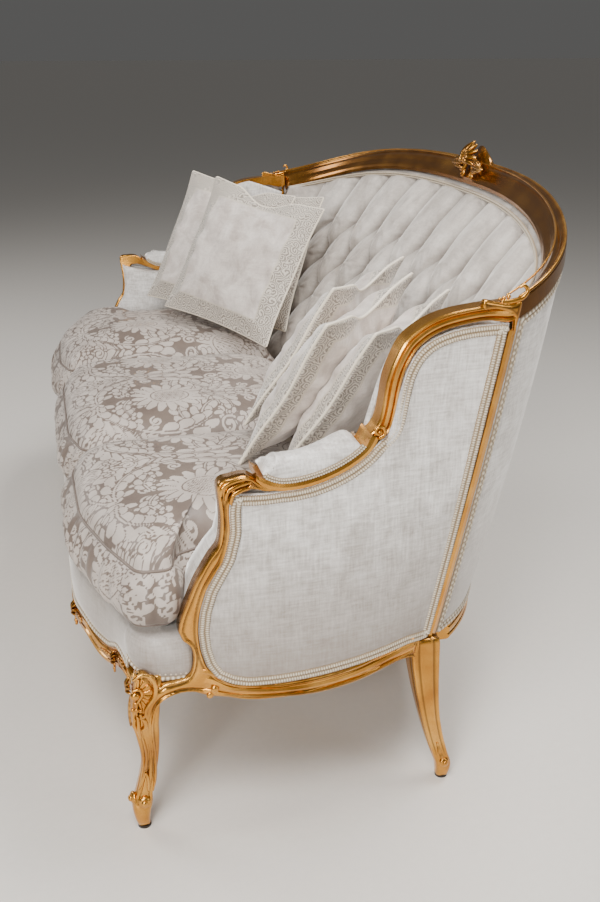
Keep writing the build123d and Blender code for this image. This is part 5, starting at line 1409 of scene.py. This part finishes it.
cushions = {
    "left": (endOutline(-1), np.array([-0.55, -0.218]), "left_cushion", 1.3),
    "center": (middleOutline(), np.array([0.0, -0.218]), "center_cushion", 0.4),
    "right": (endOutline(1), np.array([0.55, -0.218]), "right_cushion", 2.2),
}
for label, (outline, centre, body, phase) in cushions.items():
    points, uv = cushionShell(outline, centre, phase)
    tone = damaskTone(uv[..., 0], uv[..., 1])
    store = newStore()
    addGrid(store, points, wrapColumns=True, uv=uv, tone=tone, capEnds=True)
    piece = buildMesh("damask_cushion_" + label, store, damask, body)
    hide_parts("seat_cushion_" + label)
    store = newStore()
    for level, size in ((seatCushion["seamHigh"], 0.948), (seatCushion["seamLow"], 0.978)):
        ring = evenPath(centre + (outline - centre) * size, 0.004 / coarse, closed=True)
        path = stack3(ring[:, 0], ring[:, 1], level + 0 * ring[:, 0])
        direction = unit(path - np.array([centre[0], centre[1], level]))
        addTube(store, path, direction, seatCushion["piping"], seatCushion["piping"], 8, closed=True)
    buildMesh("cushion_piping_" + label, store, damask, body)
print("seat cushions made")


# scatter pillows
pillow = {"size": 0.392, "thickness": 0.094, "grid": 86, "dent": 0.030, "cord": 0.0030}
pillowPlaces = {  # x, y, z, heading, lean, roll, size share
    "left_back": (-0.6091, 0.0650, 0.7365, 40.0, 27.6, 0.0, 1.0),
    "left_middle": (-0.6160, -0.0260, 0.7641, 40.0, 27.6, -6.3, 1.0),
    "left_front": (-0.4416, 0.0083, 0.7618, 40.0, 27.6, -8.5, 1.0),
    "right_back": (0.5935, 0.0522, 0.7250, -41.4, 33.4, 0.0, 0.91),
    "right_middle": (0.5430, -0.0075, 0.7430, -41.4, 33.4, -4.0, 0.91),
    "right_front": (0.3550, 0.0400, 0.7460, -41.4, 33.4, 1.0, 0.91),
}


def pillowShape(place):
    # two crowned faces that meet in a knife edge; corners drawn out, sides drawn in, a dent in the upper edge
    x, y, z, heading, lean, roll, size = place
    grid = int(pillow["grid"] * coarse)
    line = np.sin(np.linspace(-0.5 * math.pi, 0.5 * math.pi, grid))
    a, b = np.meshgrid(line, line)
    half = 0.5 * pillow["size"] * size
    pinchA = 1 - 0.055 * (1 - b**2)
    pinchB = 1 - 0.055 * (1 - a**2)
    dent = pillow["dent"] * clip01(1 - (a / 0.55) ** 2) ** 2 * clip01((b + 0.2) / 1.2) ** 3
    px = a * half * pinchA
    py = b * half * pinchB - dent
    inner = np.maximum(np.abs(a), np.abs(b))
    flange = easeStep(0.99, 0.72, inner)  # the border is thin, the plush middle is full
    crown = ((1 - a**2) * (1 - b**2)) ** 0.5 * (0.42 + 0.58 * flange) + 0.07
    crown = crown * (1 - 0.45 * clip01(1 - (a / 0.6) ** 2) * clip01((b - 0.1) / 0.9) ** 2)
    pull = 0.10 * np.sin(14 * np.arctan2(b, a) + heading) * np.exp(-((inner - 0.78) / 0.13) ** 2)
    ripple = 0.05 * np.sin(9 * a + 4 * b + heading) * np.sin(7 * b - 3 * a) + pull
    depth = 0.5 * pillow["thickness"] * crown * (1 + ripple)
    sway = 0.004 * np.sin(2.4 * a + 1.3 * b + heading) * inner**2 + 0.002 * np.sin(5.1 * b - 1.7 * a) * inner**4
    front, rear = stack3(px, py, sway + depth), stack3(px, py, sway - depth)
    uv = np.stack([px, py], -1)
    flat = 0.5 * (front + rear)
    rim = np.concatenate([flat[0], flat[1:, -1], flat[-1, -2::-1], flat[-2:0:-1, 0]])
    turns = ((heading, "Z"), (90 - lean, "X"), (roll, "Z"))
    first, second, third = (Matrix.Rotation(math.radians(degrees), 4, axis) for degrees, axis in turns)
    matrix = np.array(first @ second @ third)[:3, :3]

    def placed(points):
        return points @ matrix.T + np.array([x, y, z])

    return placed(front), placed(rear), uv, placed(rim), matrix[:, 2]


for label, place in pillowPlaces.items():
    front, rear, uv, rim, facing = pillowShape(place)
    store = newStore()
    addSlab(store, front, rear, uv)
    piece = buildMesh("pillow_" + label, store, pillowCloth, "pillow_" + label)
    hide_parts("scatter_pillow_" + label)
    store = newStore()
    path = evenPath(rim, 0.004 / coarse, closed=True)
    addTube(store, path, np.tile(facing, (len(path), 1)), pillow["cord"], pillow["cord"], 8, closed=True)
    buildMesh("pillow_cord_" + label, store, trimThread, "pillow_" + label)
print("pillows made")


# carvings
def carvedLeaf(store, path, normal, width, height, lobes):
    # a leaf swept along a path: a domed section with ribs, its edge scalloped into lobes
    count = max(int(40 * coarse), 20)
    t = np.linspace(0, 1, count)
    source = np.linspace(0, 1, len(path))
    spine = np.stack([smoothTable(np.stack([source, np.array(path)[:, k]], -1), t) for k in range(3)], -1)
    normal = np.tile(unit(np.array(normal, float)), (count, 1)) if np.ndim(normal) == 1 else normal
    side, up = pathFrames(spine, normal)
    swell = np.sin(math.pi * clip01(0.12 + 0.85 * t)) ** 0.6
    scallop = 1 - 0.28 * np.abs(np.sin(math.pi * lobes * t)) ** 0.6
    half = width * swell * scallop
    angle = np.arange(16) * 2 * math.pi / 16
    ridge = 1 + 0.22 * np.cos(6 * angle)[None, :]
    x = half[:, None] * np.cos(angle)[None]
    y = height * swell[:, None] * np.sin(angle)[None] * ridge
    points = spine[:, None] + side[:, None] * x[..., None] + up[:, None] * y[..., None]
    shadow = clip01(1 - np.abs(np.sin(angle)))[None] * 0.6 + 0.5 * np.abs(np.sin(math.pi * lobes * t))[:, None] ** 4
    addGrid(store, points, wrapColumns=True, tone=clip01(shadow), capEnds=True)


def carvedScroll(store, centre, axisA, axisB, radius, turns, start, thick):
    # volute: a round bar on a spiral that tightens to a bead in its middle
    t = np.linspace(0, 1, int(70 * coarse) + 10)
    angle = start + turns * 2 * math.pi * t
    reach = radius * (1 - 0.75 * t)
    a, b = np.array(axisA, float), np.array(axisB, float)
    path = np.array(centre) + a * (reach * np.cos(angle))[:, None] + b * (reach * np.sin(angle))[:, None]
    normal = np.tile(unit(np.cross(a, b)), (len(path), 1))
    path = path + normal * (0.25 * thick * t)[:, None]
    size = thick * (1 - 0.35 * t)
    addTube(store, path, normal, size, size * 1.1, 10)
    addDome(store, np.array(centre) + normal[0] * thick * 0.3, normal[0], radius * 0.30, thick * 1.2, 5, 14)


def shellFan(store, centre, up, side, normal, size, ribs, height):
    # shell: ribs fan out from its foot and rise in its middle
    centre, up, side, normal = (np.array(v, float) for v in (centre, up, side, normal))
    for k in range(ribs):
        angle = (k / (ribs - 1) - 0.5) * math.radians(200)
        direction = up * math.cos(angle) + side * math.sin(angle)
        reach = size * (1 - 0.18 * abs(k / (ribs - 1) - 0.5) * 2)
        path = [centre + direction * reach * s + normal * height * math.sin(math.pi * min(s + 0.1, 1))
                for s in (0.12, 0.4, 0.7, 1.0)]
        carvedLeaf(store, path, normal, size * 0.17, height * 0.5, 1)
    addDome(store, centre + normal * height * 0.4, normal, size * 0.24, height * 0.9, 5, 16)


def crestFront(x):
    # point on the front face of the crest
    z = crestTop(x)
    y = backY(x, z)
    return np.array([x, y - 0.040, z - 0.018])


def crestCarving():
    store = newStore()
    face = np.array([0.0, -0.94, 0.34])
    centre = crestFront(0.0) + np.array([0.0, -0.002, 0.022])
    shellFan(store, centre, (0, 0.30, 0.95), (1, 0, 0), face, 0.046, 9, 0.013)
    for side in (-1, 1):
        at = centre + np.array([side * 0.040, 0.004, -0.010])
        carvedScroll(store, at, (side, 0, 0), (0, 0.3, 0.95), 0.019, 1.25, 2.6, 0.0048)
        at = centre + np.array([side * 0.030, -0.002, -0.032])
        carvedScroll(store, at, (side, 0, 0), (0, 0.3, 0.95), 0.012, 1.1, 0.4, 0.0036)
        for lift, reach, width in ((0.012, 0.052, 0.0075), (-0.002, 0.066, 0.0080), (-0.014, 0.055, 0.0060)):
            path = []
            for s in (0.0, 0.35, 0.7, 1.0):
                base = crestFront(side * (0.030 + reach * s))
                path.append(base + np.array([0, -0.004, 0.016 + lift * (1 - 0.6 * s) - 0.004 * s]))
            carvedLeaf(store, path, face, width, 0.0058, 5)
    return store


def faceTube(store, points, thick, lift=0.003, sides=8):
    # round bar laid on the outer face along points given as y and z, thin at both ends
    path = curved(points, 0.0015 / coarse)
    place = stack3(faceX(path[:, 0], path[:, 1]) + lift, path[:, 0], path[:, 1])
    size = thick * np.sin(math.pi * np.linspace(0.12, 0.88, len(path))) ** 0.5
    addTube(store, place, np.tile([1.0, 0, 0], (len(path), 1)), size, size, sides)


def faceDome(store, y, z, radius, lift):
    centre = np.array([float(faceX(y, z)) + lift, y, z])
    addDome(store, centre, unit(np.array([1.0, -0.1, 0.0])), radius, radius * 0.8, 6, 18)


def wingCarving(side):
    # a curl and a small leaf where the crest meets the wing, a curl at the wing's foot, ridges over the arm's head
    store = newStore()
    curl = [(0.866, 0.196, 0.934), (0.870, 0.214, 0.936), (0.872, 0.231, 0.942), (0.872, 0.238, 0.953),
            (0.870, 0.232, 0.961), (0.868, 0.225, 0.958)]
    path = curved(curl, 0.0015 / coarse)
    size = 0.0052 * (1 - 0.45 * np.linspace(0, 1, len(path)))
    addTube(store, path, np.tile(unit(np.array([0.4, -0.8, 0.4])), (len(path), 1)), size, size, 10)
    for y, z, radius in ((0.208, 0.943, 0.0040), (0.200, 0.941, 0.0034), (0.193, 0.940, 0.0028)):
        addDome(store, np.array([0.866, y, z]), unit(np.array([0.6, -0.2, 0.8])), radius, radius, 5, 14)
    foot = np.array([float(sideX(-0.006, 0.732)) + 0.003, -0.010, 0.7345])
    carvedScroll(store, foot, (0, 1, 0), (0, 0, 1), 0.0110, 1.3, -1.6, 0.0036)
    for drop in (0.0, 0.0085, 0.0170):
        ridge = [(-0.2840 + drop, 0.6700 - drop), (-0.2800 + drop, 0.6850 - drop), (-0.2650 + drop, 0.6915 - drop),
                 (-0.2450 + 0.5 * drop, 0.6930 - drop), (-0.2330, 0.6890 - 0.4 * drop)]
        faceTube(store, ridge, 0.0040)
    return mirrored(store, side)


legBars = {  # points as y and z on the outer face, thickness, lift
    "knee": (
        ([(-0.4340, 0.3330), (-0.4234, 0.3400), (-0.4156, 0.3402), (-0.4066, 0.3367), (-0.3996, 0.3259),
          (-0.3970, 0.3122), (-0.3990, 0.2976), (-0.4072, 0.2855), (-0.4147, 0.2717), (-0.4165, 0.2614),
          (-0.4225, 0.2579), (-0.4260, 0.2645)], 0.0042, 0.004),
        ([(-0.4359, 0.3124), (-0.4246, 0.3131), (-0.4201, 0.3040), (-0.4243, 0.2957), (-0.4298, 0.2876),
          (-0.4361, 0.2872)], 0.0030, 0.004),
    ),
    "shank": (
        ([(-0.4302, 0.2600), (-0.4295, 0.2443), (-0.4295, 0.2307), (-0.4270, 0.2100)], 0.0036, 0.003),
        ([(-0.4264, 0.2580), (-0.4186, 0.2489), (-0.4171, 0.2354), (-0.4237, 0.2275)], 0.0040, 0.003),
        ([(-0.4350, 0.2560), (-0.4370, 0.2440), (-0.4345, 0.2340), (-0.4300, 0.2280)], 0.0034, 0.003),
        ([(-0.4280, 0.2240), (-0.4225, 0.2020), (-0.4185, 0.1750), (-0.4180, 0.1500), (-0.4210, 0.1280)],
         0.0024, 0.0015),
        ([(-0.4209, 0.1230), (-0.4270, 0.1080), (-0.4340, 0.0900)], 0.0030, 0.004),
        ([(-0.4209, 0.1230), (-0.4170, 0.1060), (-0.4180, 0.0820)], 0.0030, 0.004),
    ),
}
kneeDomes = (  # y, z, radius, lift
    (-0.4320, 0.3000, 0.0085, 0.001), (-0.4370, 0.2742, 0.0042, 0.003), (-0.4311, 0.2723, 0.0046, 0.003),
    (-0.4240, 0.2700, 0.0040, 0.003), (-0.4317, 0.3426, 0.0044, 0.003),
)
footBosses = (((0.858, -0.4445, 0.0640), (0.25, -1.0, 0.1)), ((0.8745, -0.4260, 0.0630), (1.0, -0.1, 0.1)))


def legCarving(side):
    # knee: a C-scroll round a ribbed hollow with a plain reserve, beads and a leaf under it
    # foot: two bosses and a leaf
    store = newStore()
    for bar in legBars["knee"]:
        faceTube(store, *bar)
    for k in range(9):
        angle = math.radians(80 - 22 * k)
        inner = (-0.4290 + 0.011 * math.cos(angle), 0.3020 + 0.014 * math.sin(angle))
        outer = (-0.4290 + 0.025 * math.cos(angle), 0.3020 + 0.031 * math.sin(angle))
        middle = (0.5 * (inner[0] + outer[0]), 0.5 * (inner[1] + outer[1]) - 0.0015)
        faceTube(store, [inner, middle, outer], 0.0026, 0.002)
    for dome in kneeDomes:
        faceDome(store, *dome)
    for bar in legBars["shank"]:
        faceTube(store, *bar)
    for centre, direction in footBosses:
        centre, normal = np.array(centre), unit(np.array(direction))
        addDome(store, centre, normal, 0.0120, 0.0060, 6, 20)
        addDome(store, centre + normal * 0.005, normal, 0.0062, 0.0050, 5, 16)
    kneeFront = np.array([0.866, -0.438, 0.300])
    shellFan(store, kneeFront, (0, 0, 1), (1, 0, 0), (0, -1, 0), 0.021, 7, 0.006)
    leaf = [kneeFront + np.array([0, 0.001 - 0.004 * s, -0.018 - 0.060 * s]) for s in (0.0, 0.3, 0.65, 1.0)]
    carvedLeaf(store, leaf, (0, -1, 0.1), 0.0070, 0.0050, 5)
    return mirrored(store, side)


def rearLegCarving(side):
    store = newStore()
    foot = np.array([0.8660, 0.1450, 0.0400])
    normal = unit(np.array([1.0, 0.15, 0.1]))
    addDome(store, foot, normal, 0.0100, 0.0045, 6, 18)
    addDome(store, foot + normal * 0.0035, normal, 0.0052, 0.0040, 5, 14)
    path = [(0.8625, 0.1300, 0.0850), (0.8640, 0.1350, 0.0650), (0.8655, 0.1400, 0.0520)]
    carvedLeaf(store, path + [(0.8665, 0.1440, 0.0440)], normal, 0.0042, 0.0026, 3)
    return mirrored(store, side)


def railMiddle(x):  # middle of the front rail's face
    at = np.array([x])
    return np.array([x, frontEdgeY(at)[0], 0.5 * (frontRailHigh(at)[0] + frontRailLow(at)[0])])


def railCarving():
    # shells on the front rail at its middle and at its two swells, leaves to both sides, beads on the side rails
    store = newStore()
    front = np.array([0.0, -1.0, 0.05])
    for x, size in ((0.0, 0.030), (-0.500, 0.024), (0.500, 0.024), (-0.735, 0.018), (0.735, 0.018)):
        centre = railMiddle(x) - np.array([0, 0.004, 0.004])
        shellFan(store, centre, (0, 0, 1), (1, 0, 0), front, size, 7, size * 0.32)
        for side in (-1, 1):
            path = [railMiddle(x + side * (size * 0.8 + size * 2.6 * s)) - np.array([0, 0.005, 0])
                    for s in (0.0, 0.35, 0.7, 1.0)]
            carvedLeaf(store, path, front, size * 0.34, size * 0.17, 5)
            at = centre + np.array([side * size * 0.95, -0.002, -size * 0.45])
            carvedScroll(store, at, (side, 0, 0), (0, 0, 1), size * 0.42, 1.2, 2.4, size * 0.13)
    for side in (-1, 1):
        for y, z, radius in ((-0.2961, 0.2925, 0.0078), (-0.3042, 0.2780, 0.0064)):
            x = float(sideX(np.array([y]), np.array([z]))[0])
            centre = np.array([side * (x + 0.003), y, z])
            addDome(store, centre, np.array([float(side), 0, 0]), radius, radius * 0.8, 6, 18)
    return store


def crestBeads():
    # bright beads along the crest's outer edge and along the middle of its top
    store = newStore()
    x = np.linspace(-0.868, 0.868, int(500 * coarse))
    for back, drop, radius in ((0.003, 0.002, 0.0030), (0.022, 0.000, 0.0018)):
        z = crestTop(x) - drop
        path = stack3(x, backY(x, z) - back, z + 0.0012)
        path[:, 0] *= 1 - 0.55 * back * clip01((np.abs(x) - 0.5) / 0.37) ** 2
        addTube(store, path, np.tile([0, 0, 1.0], (len(path), 1)), radius, radius, 8)
    return store


buildMesh("crest_beads", crestBeads(), gilt, "sofa")
buildMesh("crest_carving", crestCarving(), gilt, "sofa")
buildMesh("rail_carving", railCarving(), gilt, "sofa")
for side, label in bothEnds:
    buildMesh("wing_carving_" + label, wingCarving(side), gilt, "sofa")
    buildMesh("leg_carving_" + label, legCarving(side), gilt, "sofa")
    buildMesh("rear_leg_carving_" + label, rearLegCarving(side), gilt, "sofa")
print("carvings made")


# floor, light and camera
studio = {"floor": "ebe6df", "world": "dcdbd9", "worldStrength": 0.17}
photoCamera = {"azimuth": 1.33461791, "elevation": 0.37299379, "roll": 0.016, "lens": 42.504,
               "place": (2.4372, -0.5175, 1.3385)}
lamps = (  # name, place, target, size, power, colour
    ("key", (2.0, -0.9, 2.7), (0.6, -0.1, 0.5), (1.2, 1.0), 72, (1.0, 0.975, 0.94)),
    ("side", (3.6, -1.8, 1.7), (0.5, -0.1, 0.5), (1.0, 1.0), 84, (1.0, 0.98, 0.95)),
    ("top", (0.2, 1.2, 3.3), (0.0, 0.0, 0.5), (1.6, 1.2), 95, (1.0, 0.985, 0.96)),
    ("left", (-2.4, -3.0, 2.6), (0.0, 0.0, 0.6), (1.6, 1.4), 65, (1.0, 0.98, 0.96)),
    ("rim", (3.2, 2.8, 1.6), (0.4, 0.1, 0.6), (1.4, 1.4), 25, (0.97, 0.98, 1.0)),
)


def makeFloor():
    mesh = bpy.data.meshes.new("studio_floor")
    size = 60.0
    mesh.from_pydata([(-size, -size, 0), (size, -size, 0), (size, size, 0), (-size, size, 0)], [], [(0, 1, 2, 3)])
    floor = bpy.data.objects.new("studio_floor", mesh)
    bpy.context.collection.objects.link(floor)
    mesh.materials.append(plainFinish("studio floor", studio["floor"], 0.42, 0.0, 0.97))


def areaLight(name, place, target, size, power, colour):
    light = bpy.data.lights.new(name, "AREA")
    light.shape = "RECTANGLE"
    light.size, light.size_y = size
    light.energy = power
    light.color = colour
    holder = bpy.data.objects.new(name, light)
    bpy.context.collection.objects.link(holder)
    holder.location = place
    holder.rotation_euler = (Vector(target) - Vector(place)).to_track_quat("-Z", "Y").to_euler()


def makeWorld():
    world = bpy.data.worlds.new("studio")
    bpy.context.scene.world = world
    world.use_nodes = True
    background = world.node_tree.nodes["Background"]
    tree = world.node_tree
    height = put(tree, "ShaderNodeSeparateXYZ", {0: put(tree, "ShaderNodeTexCoord").outputs["Generated"]}).outputs[2]
    low = tuple(c * 0.82 for c in shade(studio["world"])[:3])
    tree.links.new(ramp(tree, height, [(0.02, low), (0.40, shade(studio["world"]))]), background.inputs["Color"])
    background.inputs["Strength"].default_value = studio["worldStrength"]


def makeCamera():
    azimuth, elevation = photoCamera["azimuth"], photoCamera["elevation"]
    flat = math.cos(elevation)
    back = Vector((math.sin(azimuth) * flat, -math.cos(azimuth) * flat, math.sin(elevation)))
    right = Vector((math.cos(azimuth), math.sin(azimuth), 0))
    up = back.cross(right)
    turn = Matrix((right, up, back)).transposed().to_4x4() @ Matrix.Rotation(math.radians(photoCamera["roll"]), 4, "Z")
    data = bpy.data.cameras.new("photo_camera")
    data.lens = photoCamera["lens"]
    data.sensor_width = 36
    data.sensor_fit = "AUTO"
    camera = bpy.data.objects.new("photo_camera", data)
    bpy.context.collection.objects.link(camera)
    camera.matrix_world = Matrix.Translation(photoCamera["place"]) @ turn
    bpy.context.scene.camera = camera


makeFloor()
makeWorld()
for lamp in lamps:
    areaLight(*lamp)
makeCamera()
meshes = [piece.data for piece in bpy.data.objects if piece.type == "MESH"]
print("studio made", sum(len(mesh.loops) - 2 * len(mesh.polygons) for mesh in meshes), "triangles")
